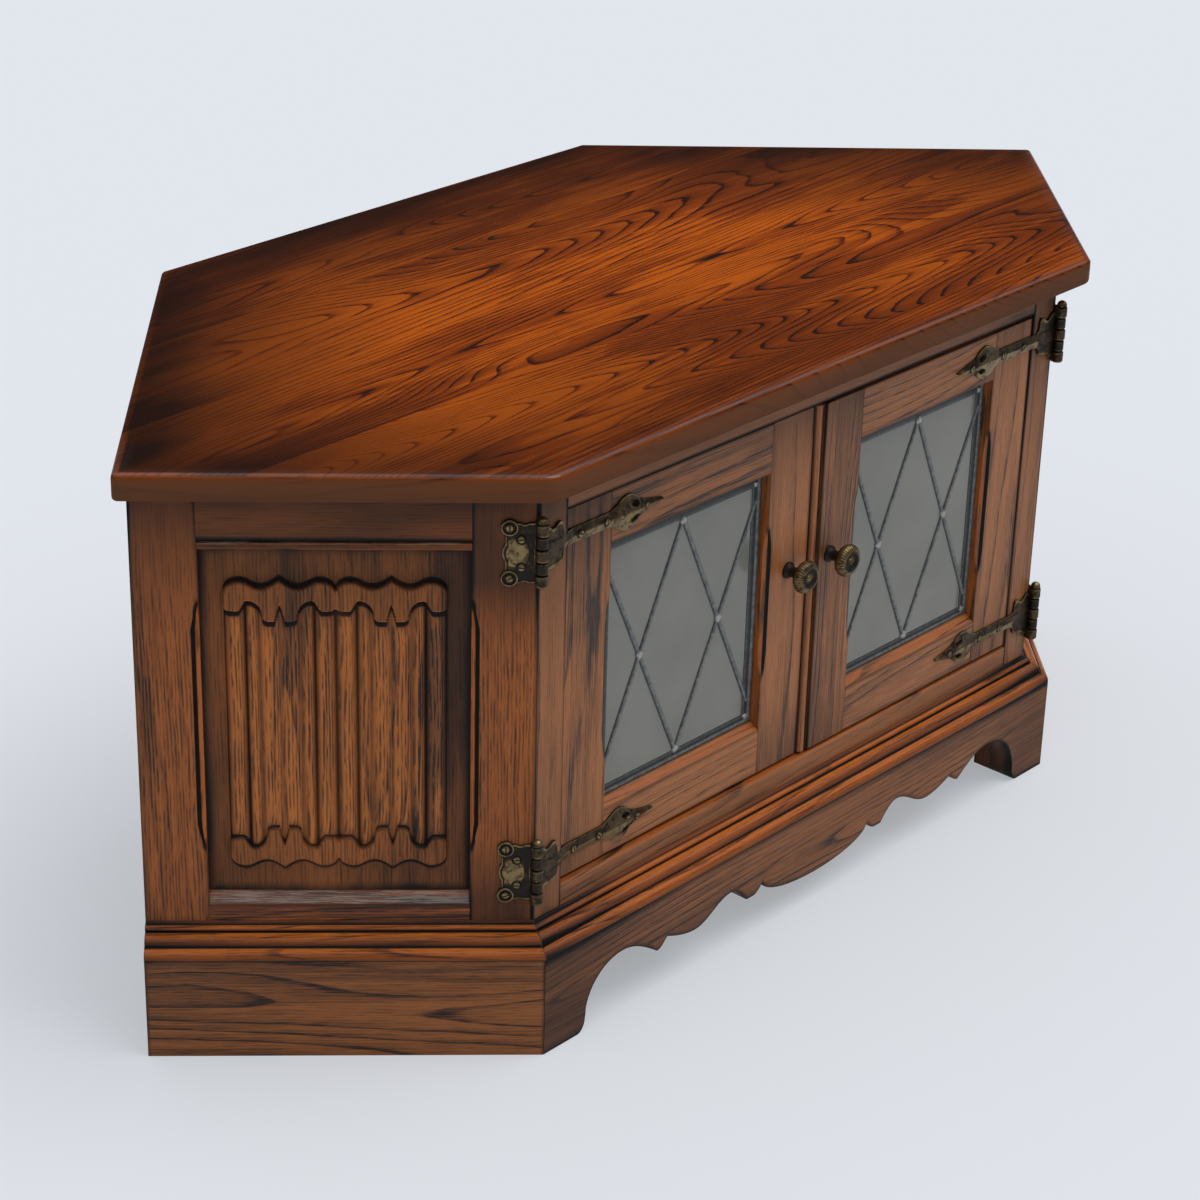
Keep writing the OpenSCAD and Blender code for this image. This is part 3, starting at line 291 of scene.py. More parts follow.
class Finish:
    # A material under construction, or a world where one is given.

    def __init__(self, name, world=None):
        self.material = world or bpy.data.materials.new(name)
        self.material.use_nodes = True
        self.tree = self.material.node_tree
        self.shader = self.tree.nodes["Background" if world else "Principled BSDF"]

    def feed(self, socket, value):
        # A link where the value is a wire, and otherwise the value itself.
        if isinstance(value, Wire):
            self.tree.links.new(value.socket, socket)
        else:
            socket.default_value = value

    def node(self, kind, settings, inputs, out=0):
        # Any node: its settings are set first, then its sockets, by name or in order. out picks its output.
        made = self.tree.nodes.new(kind)
        for key, value in settings.items():
            setattr(made, key, value)
        for key, value in enumerate(inputs) if isinstance(inputs, list) else inputs.items():
            self.feed(made.inputs[key], value)
        return Wire(self, made.outputs[out])

    def split(self, vector):
        made = self.node("ShaderNodeSeparateXYZ", {}, [vector])
        outputs = made.socket.node.outputs
        return [Wire(self, outputs[k]) for k in range(3)]

    def vector(self, x, y, z=0.0):
        return self.node("ShaderNodeCombineXYZ", {}, [x, y, z])

    def place(self):
        # Object coordinates, in metres.
        return self.node("ShaderNodeTexCoord", {}, {}, "Object")

    def noise(self, vector, scale=1.0, detail=2.0, roughness=0.5):
        inputs = {"Vector": vector, "Scale": scale, "Detail": detail, "Roughness": roughness}
        return self.node("ShaderNodeTexNoise", {}, inputs)

    def mix(self, share, a, b):
        a, b = [c if isinstance(c, Wire) else (*c, 1) for c in (a, b)]
        return self.node("ShaderNodeMix", dict(data_type="RGBA"), {0: share, 6: a, 7: b}, 2)

    def attribute(self, name):
        return self.node("ShaderNodeAttribute", dict(attribute_name=name), {}, 2)

    def set(self, **sockets):
        for name, value in sockets.items():
            self.feed(self.shader.inputs[name.replace("_", " ")], value)

    def bump(self, height, distance, strength=1.0):
        inputs = {"Height": height, "Distance": distance, "Strength": strength}
        self.set(Normal=self.node("ShaderNodeBump", {}, inputs))


def colour(r, g, b):
    # A colour picked as it looks on screen, 0 to 255, made linear.
    return tuple(((c / 255 + 0.055) / 1.055) ** 2.4 if c > 10 else c / 255 / 12.92 for c in (r, g, b))


quirkShadow = (0.003, 0.0025, 0.002)        # painted black shadow for the deepest quirks, undercuts and the dark side of chamfers
glare = colour(196, 178, 160)        # a painted highlight: pale glare on glossy arrises, beads and sill slopes
floorSheen = colour(104, 70, 50)         # a painted reflection of the pale floor, greying the top's edge band


def oak(name, light, middle, dark, gloss, coat=0.0, specular=0.18, rings=300, figure=1.0, stain=0.5,
        lines=0.5, even=0.3, tick=0.3, patches=0.25, plank=None, litColour=None, shadeAndStainTone=(0.02, 0.0145, 0.012),
        shadeUnevenness=1.3, hush=0.75, glareStrength=0.3, swing=42.0, axes=None):
    # Stained oak. Growth rings are the lengths from a slowly wandering pith, so they run from close
    # straight lines to wide arches; each starts with a row of dark pores and fades out over the ring.
    # Clouds of stain lie over them. Shade above 0 darkens arrises and hollows towards the shade-and-stain
    # tone: painted shade in hollows, gaps and under overhangs, together with the darker stain at edges and
    # ends; above 1 it turns to painted black shadow; below 0 it is painted light, the lit colour on faces
    # that catch the lamp. Grain runs along u of the piece's map, or along the first of the given object
    # axes; plank is the width of boards glued side by side. Gloss above 0 adds a coat and a painted pale
    # highlight, and below 0 a painted band of greyed floor sheen. swing and figure set how the pith wanders,
    # rings how close the rings lie, even how steady their rows of pores are, lines and tick how dark the
    # rows and the short flecks between them are, stain and patches how strong the clouds are, the shade
    # unevenness how unevenly painted shade takes hold, hush how far shade hides the figure, and the glare
    # strength how pale the painted highlight is.
    f = Finish(name)
    if axes is None:
        u, v = f.split(f.node("ShaderNodeUVMap", dict(uv_map="grain"), {}))[:2]
        shade = f.attribute("shade")
    else:
        xyz = f.split(f.place())
        u = xyz[axes[0]]
        v = abs(xyz[axes[1]]) - xyz[axes[2]] * 0.8                     # turns with the cabinet's two walls
        shade = u * 0.0
    board = u * 0.0
    if plank is not None:
        number = (v / plank).floor()
        u, v = u + number * 3.7, v + number * 1.9
        board = (number * 12.9).sine()

    def along(perMetre, perMetreAcross, seed, detail=2.0, roughness=0.5):
        # Noise drawn out along the grain.
        return f.noise(f.vector(u * perMetre, v * perMetreAcross, seed), 1.0, detail, roughness)

    drift = along(1.1, 5.0, 0.0)
    waver = along(9.0, 60.0, 3.1)
    beside = (v * swing + drift * 5.0 * figure).sine() * 0.05          # across to the pith
    below = ((u * 0.9 + drift * 2.0).sine() + 1.25) * 0.045            # and down to it
    ring = (beside * beside + below * below) ** 0.5
    year = (ring * rings + waver * 0.75 + drift * 1.5).fraction()
    early = year.step(0.0, 0.06) * (year.step(0.26, 0.1) * 0.65 + year.step(0.8, 0.05) * 0.35)
    cloud = along(3.5, 16.0, 5.2, 3.0, 0.6)
    broad = along(2.2, 9.0, 9.4, 3.0, 0.55)
    strong = along(2.3, 24.0, 2.6).step(0.3, 0.62)
    pores = along(45.0, 1000.0, 7.7, 2.0, 0.6).step(0.42, 0.6)
    dash = along(55.0, 520.0, 4.4, 2.0, 0.6).step(0.36, 0.62)
    ticks = ((v * 2400.0 + waver * 14.0 + drift * 30.0).sine() * 0.5 + 0.5) * dash
    fibre = along(7.0, 240.0, 1.3, 4.0, 0.7)
    patch = (broad + (fibre - 0.5) * 0.4 + (cloud - 0.5) * 0.5).step(0.52, 0.6)     # stain with jagged edges
    quiet = 1.0 - (shade * hush).clip()
    row = early * (strong * (1.0 - even) + even) * (pores * 0.5 + 0.5) * quiet
    dim = row * lines + ticks * quiet * tick + (fibre - 0.5) * 0.7 * quiet + board * 0.06 + patch * patches
    dim = (dim + (cloud - 0.5) * stain + (broad - 0.5) * stain + 0.14).clip()
    tone = f.mix(dim.step(0.0, 0.55), light, middle)
    tone = f.mix(dim.step(0.4, 1.0), tone, dark)
    # Painted light: shade below 0 turns the colour towards the lit colour, on faces that catch the lamp, such
    # as sills, reveals, crests and the lit side of chamfers.
    litShare = (shade * -1.0).clip() * (1.0 - dim.step(0.12, 0.62) * 0.85)
    tone = f.mix(litShare, tone, litColour or light)
    # Shade above 0 is painted shade in hollows, gaps and under overhangs, together with the darker stain at
    # edges and ends.
    rim = (shade * 0.85 + (cloud - 0.5) * shade * shadeUnevenness).clip()
    tone = f.mix(rim, tone, shadeAndStainTone)
    # Shade above 1 is painted black shadow.
    tone = f.mix(((shade - 1.0) * 2.5).clip(), tone, quirkShadow)
    shine = f.attribute("glossAndSheen") if axes is None else u * 0.0
    # Painted highlight: pale glare mixed in where the piece is glossy.
    tone = f.mix(shine * (fibre + (pores - 0.5) * 0.3).step(0.42, 0.62) * glareStrength, tone, glare)
    # Painted reflection: gloss below 0 greys the colour as the floor's sheen would.
    tone = f.mix((shine * -0.75).clip(), tone, floorSheen)
    f.set(Base_Color=tone, Specular_IOR_Level=specular, Coat_Roughness=0.14,
          Roughness=(gloss + pores * 0.1 + (fibre - 0.5) * 0.16 + rim * 0.25).clip(),
          Coat_Weight=((litShare * 0.12 + coat) * (1.0 - rim) + shine * 0.6).clip())
    f.bump(row * -0.6 + ticks * -0.3 + fibre * 0.3, 0.0004, 0.7)
    return f.material


def brass():
    # Antique brass: matt olive-gold crowns, cast pits, near-black hollows of patina and painted shade, and
    # painted highlights where shade is below 0.
    f = Finish("antiqueBrass")
    xyz = f.place()
    shade = f.attribute("shade")
    pits = f.noise(xyz, 420.0, 3.0, 0.6)
    cloud = f.noise(xyz, 130.0, 3.0, 0.6)
    spots = f.noise(xyz, 210.0, 2.0, 0.5).step(0.5, 0.68)
    # Shade darkens the hollows with patina and painted shade, and the straps' upper halves with painted
    # reflection; below 0 it paints highlights.
    grimeAndShade = (shade + (cloud - 0.5) * 1.0 + (pits - 0.5) * 0.4 + spots * 0.35 + 0.14).clip()
    tone = f.mix(grimeAndShade.step(0.0, 0.5), colour(134, 116, 80), colour(86, 68, 43))
    tone = f.mix(grimeAndShade.step(0.4, 0.95), tone, colour(32, 26, 18))
    f.set(Base_Color=tone, Metallic=0.92 - grimeAndShade * 0.3, Roughness=(0.3 + grimeAndShade * 0.16 + pits * 0.1).clip())
    f.bump(pits * 0.3 + cloud * 0.6, 0.0005, 0.7)
    return f.material


def plain(name, tint, roughness, metallic=0.0, grain=60.0, depth=0.0002):
    # A small hidden or dull surface with mottling.
    f = Finish(name)
    xyz = f.place()
    mottle = f.noise(xyz, grain, 3.0, 0.6)
    darker = tuple(c * 0.62 for c in tint)
    f.set(Base_Color=f.mix(mottle.step(0.3, 0.7), darker, tint), Metallic=metallic,
          Roughness=(roughness + (mottle - 0.5) * 0.2).clip())
    f.bump(mottle, depth)
    return f.material


def leadFinish():
    # Lead came: blue-grey, bright solder where shade is 1, and black where it is -1, a painted shadow and
    # reflection of the came.
    f = Finish("leadCame")
    xyz = f.place()
    mottle = f.noise(xyz, 240.0, 3.0, 0.6)
    solder = f.attribute("shade")
    tone = f.mix(mottle.step(0.3, 0.7), colour(82, 86, 86), colour(122, 126, 124))
    tone = f.mix(solder.clip(), tone, colour(160, 161, 156))
    tone = f.mix((solder * -1.0).clip(), tone, colour(24, 27, 28))
    f.set(Base_Color=tone, Metallic=0.3, Roughness=(0.4 - solder * 0.1 + (mottle - 0.5) * 0.2).clip())
    f.bump(mottle, 0.0003)
    return f.material


def paneFinish():
    # Clear old glass with a faint ripple; its grey colour is a painted reflection of the pale floor over the
    # dark inside, mottled with dirt and patches of brighter and darker painted reflection.
    f = Finish("leadedGlass")
    xyz = f.place()
    ripple = f.noise(xyz, 9.0, 2.0, 0.5)
    dustAndReflection = f.noise(xyz, 14.0, 3.0, 0.5)
    f.set(Base_Color=f.mix(dustAndReflection.step(0.15, 0.85), colour(121, 121, 113), colour(135, 134, 125)),
          Roughness=0.1 + dustAndReflection * 0.04, Alpha=0.91 + dustAndReflection * 0.03, Specular_IOR_Level=0.5)
    f.bump(ripple, 0.001, 0.2)
    return f.material


shellStain = [colour(122, 84, 56), colour(96, 62, 40), colour(52, 36, 28)]      # back, floor and wall panels
finishes = dict(
    top=oak("oakTop", colour(180, 86, 13), colour(132, 55, 7), colour(37, 17, 9), 0.24, specular=0.02,
            rings=440, figure=0.7, stain=0.6, lines=1.0, even=0.75, tick=0.14, patches=0.2, plank=0.118,
            swing=25.0, shadeAndStainTone=colour(44, 21, 12), shadeUnevenness=0.55, hush=0.35, glareStrength=0.0),
    frame=oak("oakFrame", colour(174, 98, 44), colour(128, 73, 36), colour(50, 37, 29), 0.34, coat=0.05,
              rings=120, stain=0.4, lines=0.35, tick=0.6, patches=0.15, litColour=colour(205, 112, 48)),
    doors=oak("oakDoor", colour(172, 109, 63), colour(132, 84, 50), colour(56, 44, 36), 0.34, coat=0.06,
              specular=0.22, rings=130, stain=0.4, lines=0.8, even=0.45, tick=0.3, patches=0.2,
              litColour=colour(178, 88, 24)),
    carved=oak("oakCarved", colour(186, 108, 46), colour(126, 74, 36), colour(42, 31, 24), 0.36, coat=0.1,
               rings=240, stain=0.5, lines=0.6, tick=0.65, patches=0.24, litColour=colour(206, 124, 54)),
    plinth=oak("oakPlinth", colour(154, 94, 50), colour(112, 68, 38), colour(44, 32, 25), 0.34, coat=0.05,
               rings=210, stain=0.4, lines=0.95, even=0.55, tick=0.3, patches=0.12,
               litColour=colour(180, 104, 48)),
    moulding=oak("oakMoulding", colour(174, 92, 34), colour(120, 62, 22), colour(40, 25, 18), 0.24, coat=0.2,
                 specular=0.15, rings=200, stain=0.6, lines=0.8, tick=0.35, patches=0.3,
                 litColour=colour(216, 126, 50)),
    shellUp=oak("oakShellUpright", *shellStain, 0.5, axes=(2, 0, 1)),
    shellFlat=oak("oakShellLevel", *shellStain, 0.5, axes=(0, 1, 2)),
    brass=brass(),
    lead=leadFinish(),
    pane=paneFinish(),
    catch=plain("catchPlastic", colour(96, 74, 56), 0.5),
    strike=plain("strikeSteel", colour(190, 190, 186), 0.35, 0.9, 300.0),
)
print("finishes made")


# boards
turnShares = np.array([0, 0.06, 0.42, 0.58, 0.94, 1.0])       # where the points of a turned corner lie
arrisFade = 2.4       # how far the shade of an arris runs out over the faces beside it


def beam(corners, stations, cuts=0.5, along="z", inset=0.35, edge=0.85, tone=((0, 0),), faces=()):
    # A section carried along a straight line. Each corner of the section (k, 2) is cut back by cuts, a
    # number or (stations, k), and turned in a quarter curve that straightens as the cut grows. edge is
    # the shade of the arrises, a number or (stations, k); faces gives (corner, shade) for the face after
    # a corner. tone adds shade along the line as (place, shade) pairs. Returns the grid in local
    # millimetres, its shade and its grain coordinates.
    stations = np.asarray(stations, float)
    corners = np.asarray(corners, float)
    m, k = len(stations), corners.shape[-2]
    corners = np.broadcast_to(corners, (m, k, 2))
    cuts = np.broadcast_to(cuts, (m, k))
    before, after = np.roll(corners, 1, 1) - corners, np.roll(corners, -1, 1) - corners
    longIn, longOut = [np.maximum(np.linalg.norm(e, axis=-1, keepdims=True), 1e-9) for e in (before, after)]
    goIn, goOut = before / longIn, after / longOut
    bend = np.abs(goIn[..., :1] * goOut[..., 1:] - goIn[..., 1:] * goOut[..., :1])
    shrink = np.zeros((m, 1, 1))
    shrink[[0, -1]] = inset                                  # the ends are eased too
    corners = corners + shrink * (goIn + goOut) * (bend > 0.3)
    c = np.minimum(cuts[..., None], 0.45 * np.minimum(longIn, longOut))
    t = turnShares
    straight = smooth(1.5, 3.0, c)
    fade = arrisFade * (1 - 0.75 * straight)
    shareIn = (1 - straight) * (1 - np.sin(np.pi / 2 * t)) + straight * (1 - t)
    shareOut = (1 - straight) * (1 - np.cos(np.pi / 2 * t)) + straight * t
    turn = shareIn[..., None] * goIn[:, :, None] + shareOut[..., None] * goOut[:, :, None]
    curve = corners[:, :, None] + c[..., None] * turn
    edgeIn = corners + goIn * np.minimum(c + fade, 0.48 * longIn)
    edgeOut = corners + goOut * np.minimum(c + fade, 0.48 * longOut)
    section = np.concatenate([edgeIn[:, :, None], curve, edgeOut[:, :, None]], 2).reshape(m, -1, 2)
    depth = curve[..., 1] - curve[..., 1].min(2, keepdims=True)      # painted shade on a chamfer's face side, painted light on its inner side
    arris = 1 + straight * (0.5 - 2.1 * smooth(0.42, 0.58, depth / np.maximum(c, 0.1)))
    arris = arris * np.broadcast_to(edge, (m, k))[..., None]
    shade = np.concatenate([np.zeros((m, k, 1)), arris, np.zeros((m, k, 1))], 2)
    for corner, value in faces:
        shade[:, corner, -1] = shade[:, (corner + 1) % k, 0] = value
    shade = shade.reshape(m, -1)
    shade = shade + np.interp(stations, *np.array(tone, float).T)[:, None]
    place = np.broadcast_to(stations[:, None, None], section.shape[:2] + (1,))
    upright = along == "z"
    grid = np.concatenate([section, place] if upright else [place, section], -1)
    ring = closed(section, 1)
    flat, deep = (ring[..., 0], ring[..., 1]) if upright else (ring[..., 1], ring[..., 0])
    across = flat + 0.6 * deep                                       # the grain turns with the board's edges
    uv = np.stack([np.broadcast_to(stations[:, None], across.shape), across], -1) / 1000
    return grid, shade, uv


def beamStations(low, high, extra=()):
    # Places along a board: close together at its eased ends, nine between them and any extra ones.
    middle = [] if high - low < 60 else list(np.linspace(low + 20, high - 20, 9))
    return sorted({low, low + 0.4, low + 1.2, high - 1.2, high - 0.4, high, *middle, *extra})


def beamPiece(name, place, hand, beamed, body, finish, replaced, swapGrain=False, shine=None):
    # A beam as a piece. shine names the corner after which a face is glossy with a painted highlight.
    grid, shade, uv = beamed
    if swapGrain:
        uv = uv[..., ::-1]
    glossAndSheen = None
    if shine is not None:
        glossAndSheen = np.zeros(shade.shape)
        nextCorner = (shine + 1) * (len(turnShares) + 2)
        glossAndSheen[:, nextCorner - 2:nextCorner + 2] = 1
    makePiece(name, [skin(place(grid, hand), shade, uv)], body, finish, [replaced], glossAndSheen=glossAndSheen)


easedArris = 0.5                        # what a corner loses where it isn't chamfered
chamfer = dict(leg=5.66, run=26.0)      # stopped chamfer: how far it cuts and how long it runs out


def chamferCut(z, low, high):
    # The cut of a stopped chamfer at each height: an eased arris at its stops, its full leg after the
    # run-out.
    z = np.asarray(z, float)
    rise = np.minimum(z - low, high - z) / chamfer["run"]
    return easedArris + (chamfer["leg"] - easedArris) * np.clip(rise, 0, 1)


def arrisShade(cut):
    # Nearly nothing on a plain arris; painted shade on a chamfer, black on its face side and lit on its inner
    # side.
    return 0.35 + 0.75 * smooth(0.6, 2.0, cut)


def chamferStations(low, high):
    steps = [chamfer["run"] * share for share in (0, 0.25, 0.6, 1)]
    return [low + step for step in steps] + [high - step for step in steps]


sides = {-1: "left", 1: "right"}
side = dict(
    stile=47.5, panelLow=127.0, panelHigh=411.2, sill=119.5, railFoot=80.0, bead=6.6, quirk=1.2,
    stopLow=163.0, stopHigh=375.2, recess=10.0,
    beadShade=(1.2, 0.9, 0.6, 0.5, 0.5, 0.6, 0.7, 0.3, 0.1, 0.3, 0.7, 1.0),     # from its quirk round
)
face = dict(stile=30.0, doorwayTop=435.5, doorwayLow=124.0)
stains = dict(                                                        # (height, shade) up the stiles
    front=((0, 0.7), (80, 0.9), (135, 0.95), (175, 0.25), (300, 0), (340, 0.15), (385, 0.9), (440, 0.8),
           (459, 1.05)),
    rear=((0, 0.45), (110, 0.25), (170, 0.1), (300, 0.05), (370, 0.35), (420, 0.65), (459, 1.05)),
)
stains["face"] = [(height, shade + 0.1) for height, shade in stains["rear"]]

top = cabinet["frameTop"]
thick = cabinet["frameThick"]
wide = cabinet["sideWidth"]
inner = wide - side["stile"]
doorway = cabinet["halfWidth"] - face["stile"]


def sideStile(hand, part, section, chamfered):
    # A stile of the side frame, with a stopped chamfer on one of its corners.
    zs = beamStations(0.0, top, chamferStations(side["stopLow"], side["stopHigh"]))
    cuts, edge = np.full((len(zs), 4), easedArris), np.full((len(zs), 4), 0.7)
    cuts[:, chamfered] = chamferCut(zs, side["stopLow"], side["stopHigh"])
    edge[:, chamfered] = arrisShade(cuts[:, chamfered])
    stile = beam(section, zs, cuts, edge=edge, tone=stains[part])
    beamPiece(f"{sides[hand]}{part.title()}Stile", onSide, hand, stile, "carcass",
              finishes["frame"], f"{sides[hand]}_{part}_stile")


def sillRail(hand):
    # The side's bottom rail, its sill sloping out from under the panel, glossy with a painted highlight and a
    # little painted shade.
    section = [(0, side["railFoot"]), (0, side["sill"]), (side["recess"], side["panelLow"]),
               (thick, side["panelLow"]), (thick, side["railFoot"])]
    rail = beam(section, beamStations(side["stile"], inner), 0.9, "x", edge=0.6, faces=((1, 0.15),))
    beamPiece(sides[hand] + "SillRail", onSide, hand, rail, "carcass", finishes["moulding"],
              sides[hand] + "_bottom_rail", shine=1)


def beadedRail(hand):
    # The side's top rail: a flat, a quirk and a half-round bead along the lower edge, glossy with a painted
    # highlight on its crown.
    r, base = side["bead"] / 2, side["panelHigh"]
    flat = base + side["bead"] + side["quirk"]
    a = np.radians(np.linspace(90, 270, len(side["beadShade"])))
    bead = np.stack([r + r * np.cos(a) - 0.2, base + r + r * np.sin(a)], -1)
    profile = np.concatenate([
        [(thick, top), (0.4, top), (0, top - 0.4), (0, flat + 4), (0, flat + 0.4), (0.4, flat),
         (2.4, flat - 0.2), (2.4, base + side["bead"] + 0.2)], bead, [(side["recess"], base), (thick, base)]])
    along = np.array(beamStations(side["stile"], inner))
    shape = (len(along), len(profile))
    grid = np.concatenate([np.broadcast_to(along[:, None, None], shape + (1,)),
                           np.broadcast_to(profile, shape + (2,))], -1)
    # Painted shade: dark under the top board, black in the quirk, and across the bead painted shade that is
    # lightest on its lower front.
    shade = [1.1, 1.1, 1.1, 0.75, 1.35, 1.35, 1.35, 1.35, *side["beadShade"], 1.2, 1.2]
    shade = np.tile(shade, (len(along), 1))
    shade[[0, -1]] = np.maximum(shade[[0, -1]], 0.7)
    glossAndSheen = np.zeros(shape)
    glossAndSheen[:, 9:12] = 1
    uv = np.stack(np.meshgrid(along, runLengths(closed(profile)), indexing="ij"), -1) / 1000
    makePiece(sides[hand] + "BeadedRail", [skin(onSide(grid, hand), shade, uv)], "carcass",
              finishes["frame"], [sides[hand] + "_top_rail"], glossAndSheen=glossAndSheen)


def faceStile(hand):
    # A narrow upright beside the doorway, mitred against the side's front stile.
    section = [(doorway, 0), (cabinet["halfWidth"], 0), (cabinet["halfWidth"] - thick * mitre, thick),
               (doorway, thick)]
    stile = beam(section, beamStations(0.0, top), tone=stains["face"])
    beamPiece(sides[hand] + "FaceStile", onFront, hand, stile, "carcass", finishes["doors"],
              sides[hand] + "_face_stile")


def faceRail(part, low, high, stain, upperEdge):
    # A rail over or under the doorway.
    xs = beamStations(-doorway, doorway)
    edge = np.full((len(xs), 4), 0.9)
    edge[:, 1] = upperEdge
    section = [(0, low), (0, high), (thick, high), (thick, low)]
    # Painted light on the rail's upper face, a ledge under the doors on the bottom rail; upperEdge below 0
    # paints its arris lit too.
    rail = beam(section, xs, 0.6, "x", edge=edge, tone=((0, stain),), faces=((1, -0.9),))
    beamPiece(f"face{part.title()}Rail", onFront, 1, rail, "carcass", finishes["doors"],
              f"face_{part}_rail")


for hand in sides:
    sideStile(hand, "front", [(0, 0), (side["stile"], 0), (side["stile"], thick), (thick * mitre, thick)], 1)
    sideStile(hand, "rear", [(inner, 0), (wide, 0), (wide, thick), (inner, thick)], 0)
    sillRail(hand)
    beadedRail(hand)
    faceStile(hand)
faceRail("top", face["doorwayTop"], top, 0.45, 0.9)
faceRail("bottom", side["railFoot"], face["doorwayLow"], 0.3, -0.7)
print("carcass boards made")


# doors
doorStain = ((0, 0.5), (30, 0.25), (75, 0), (225, 0), (265, 0.2), (305, 0.6))      # (height, shade) up a door


def doorwayOf(hand):
    # The opening between a door's stiles and rails: left, right, low and high.
    right = door["width"] - (door["beadedStile"] if hand > 0 else door["stile"])
    return door["stile"], right, door["rail"] + door["sillRise"], door["height"] - door["topRail"]


def doorStile(hand, part, edge, outer, bead):
    # From the outer edge, with a step for a bead where there is one, to the visible edge at the opening
    # and the rebate behind it, which runs only as high as the pane.
    h, t, deep = door["height"], door["thick"], door["rebateDepth"]
    low, high = doorwayOf(hand)[2:]
    rebateLow, rebateHigh = low - door["rebate"], high + door["rebate"]
    stopLow, stopHigh = door["rail"] + door["stop"], high - door["stop"]
    zs = np.array(beamStations(0.0, h, chamferStations(stopLow, stopHigh)
                               + [rebateLow - 0.01, rebateLow, rebateHigh, rebateHigh + 0.01]))
    zero = np.zeros(len(zs))
    notch = np.where((zs >= rebateLow) & (zs <= rebateHigh), door["rebate"], 0.0) * np.sign(edge - outer)
    stepIn, stepBack = (2 * bead + door["quirk"], bead + door["beadSet"]) if bead else (0, 0)
    points = [(outer, stepBack)]
    if bead:
        points += [(outer - stepIn, stepBack), (outer - stepIn, 0)]
    points += [(edge, 0), (edge, deep), (edge - notch, deep), (edge - notch, t), (outer, t)]
    corner, count = len(points) - 5, len(points)
    cuts, shades = np.full((len(zs), count), easedArris), np.full((len(zs), count), 0.9)
    cuts[:, corner] = chamferCut(zs, stopLow, stopHigh)
    cuts[:, corner + 1:corner + 3] = 0.0
    shades[:, corner] = arrisShade(cuts[:, corner])
    section = np.stack([np.stack([x + zero, y + zero], -1) for x, y in points], 1)
    # The reveal after the chamfered corner is painted light, as a face turned to the lamp.
    grid, shade, uv = beam(section, zs, cuts, edge=shades, tone=doorStain, faces=((corner, -0.8),))
    skins = [skin(onDoor(grid, hand), shade, uv)]
    if bead:
        skins.append(meetingBead(hand, outer, stepBack, bead))
    word = sides[hand]
    makePiece(f"{word}{part}_stile", skins, word + "_door", finishes["doors"],
              [f"{word}_door_{part.lower()}_stile"])


def meetingBead(hand, outer, stepBack, r):
    # A half round up the meeting edge, with its root inside the stile.
    h, half = door["height"], door["thick"] / 2
    a = np.radians(np.linspace(0, 180, 13))
    arc = np.stack([outer - r + r * np.cos(a), stepBack - r * np.sin(a)], -1)
    section = np.concatenate([arc, [(outer - 2 * r, half), (outer, half)]])
    rows = np.array([0, 0.4, h / 3, h * 2 / 3, h - 0.4, h])
    shape = (len(rows), len(section))
    grid = np.concatenate([np.broadcast_to(section, shape + (2,)),
                           np.broadcast_to(rows[:, None, None], shape + (1,))], -1)
    # Painted light on the bead's crown and painted shade down its sides, darkest in the quirk on its inner
    # side.
    return skin(onDoor(grid, hand), np.concatenate([0.95 - 1.25 * np.sin(a) + 0.5 * (a > 2.4), [1, 1]]))


def doorRail(hand, name, section, cut, replaced, **looks):
    left, right = doorwayOf(hand)[:2]
    rail = beam(section, beamStations(left, right), cut, "x", edge=0.6, **looks)
    beamPiece(sides[hand] + name, onDoor, hand, rail, sides[hand] + "_door", finishes["doors"],
              sides[hand] + replaced)


def doorBoards(hand):
    left, right, low, high = doorwayOf(hand)
    h, t, deep = door["height"], door["thick"], door["rebateDepth"]
    rebateLow, rebateHigh = low - door["rebate"], high + door["rebate"]
    doorStile(hand, "Hinge", left, 0.0, 0)
    doorStile(hand, "Meeting", right, door["width"], door["bead"] if hand > 0 else 0)
    section = [(0, high), (0, h), (t, h), (t, rebateHigh), (deep, rebateHigh), (deep, high)]
    doorRail(hand, "DoorTopRail", section, 0.5, "_door_top_rail", tone=((0, 0.15),))
    section = [(0, 0), (0, door["rail"]), (door["sillDepth"], low), (deep, low), (deep, rebateLow),
               (t, rebateLow), (t, 0)]
    # The sill's slope is painted light, as a face turned up to the lamp.
    doorRail(hand, "DoorSillRail", section, 0.6, "_door_bottom_rail", faces=((1, -0.7),))


for hand in sides:
    doorBoards(hand)
print("door boards made")


# linenfold panels
fold = dict(
    width=80.0, low=149.0, high=386.2, crest=5.0, band=6.6, point=33.6, thick=7.8,
    rolls=(0.0, 15.0, 24.6, 40.0), valleys=(3.4, 2.6, 0.6, 0.7), bow=0.93,       # from the fold's middle out
    outerAt=(13.6, 28.8, 40.0), outerUp=(33.6, 27.0, 32.3, 24.0),                # a band's outer edge
    innerAt=(3.4, 8.0, 12.8, 23.2, 30.4, 34.4, 40.0), innerUp=(13.5, 5.0, 16.6, 8.2, 11.2),
)


def bandOuter(a):
    # Outer edge of a band at distance a from the fold's middle: a point, a hollow, a shoulder, a round end.
    (hollow, shoulder, end), (point, low, high, foot) = fold["outerAt"], fold["outerUp"]
    return np.select([a < hollow, a < shoulder], [
        point - (point - low) * np.sin(np.pi / 2 * a / hollow),
        low + (high - low) * wave((a - hollow) / (shoulder - hollow)),
    ], foot + (high - foot) * roundOff((a - shoulder) / (end - shoulder)))


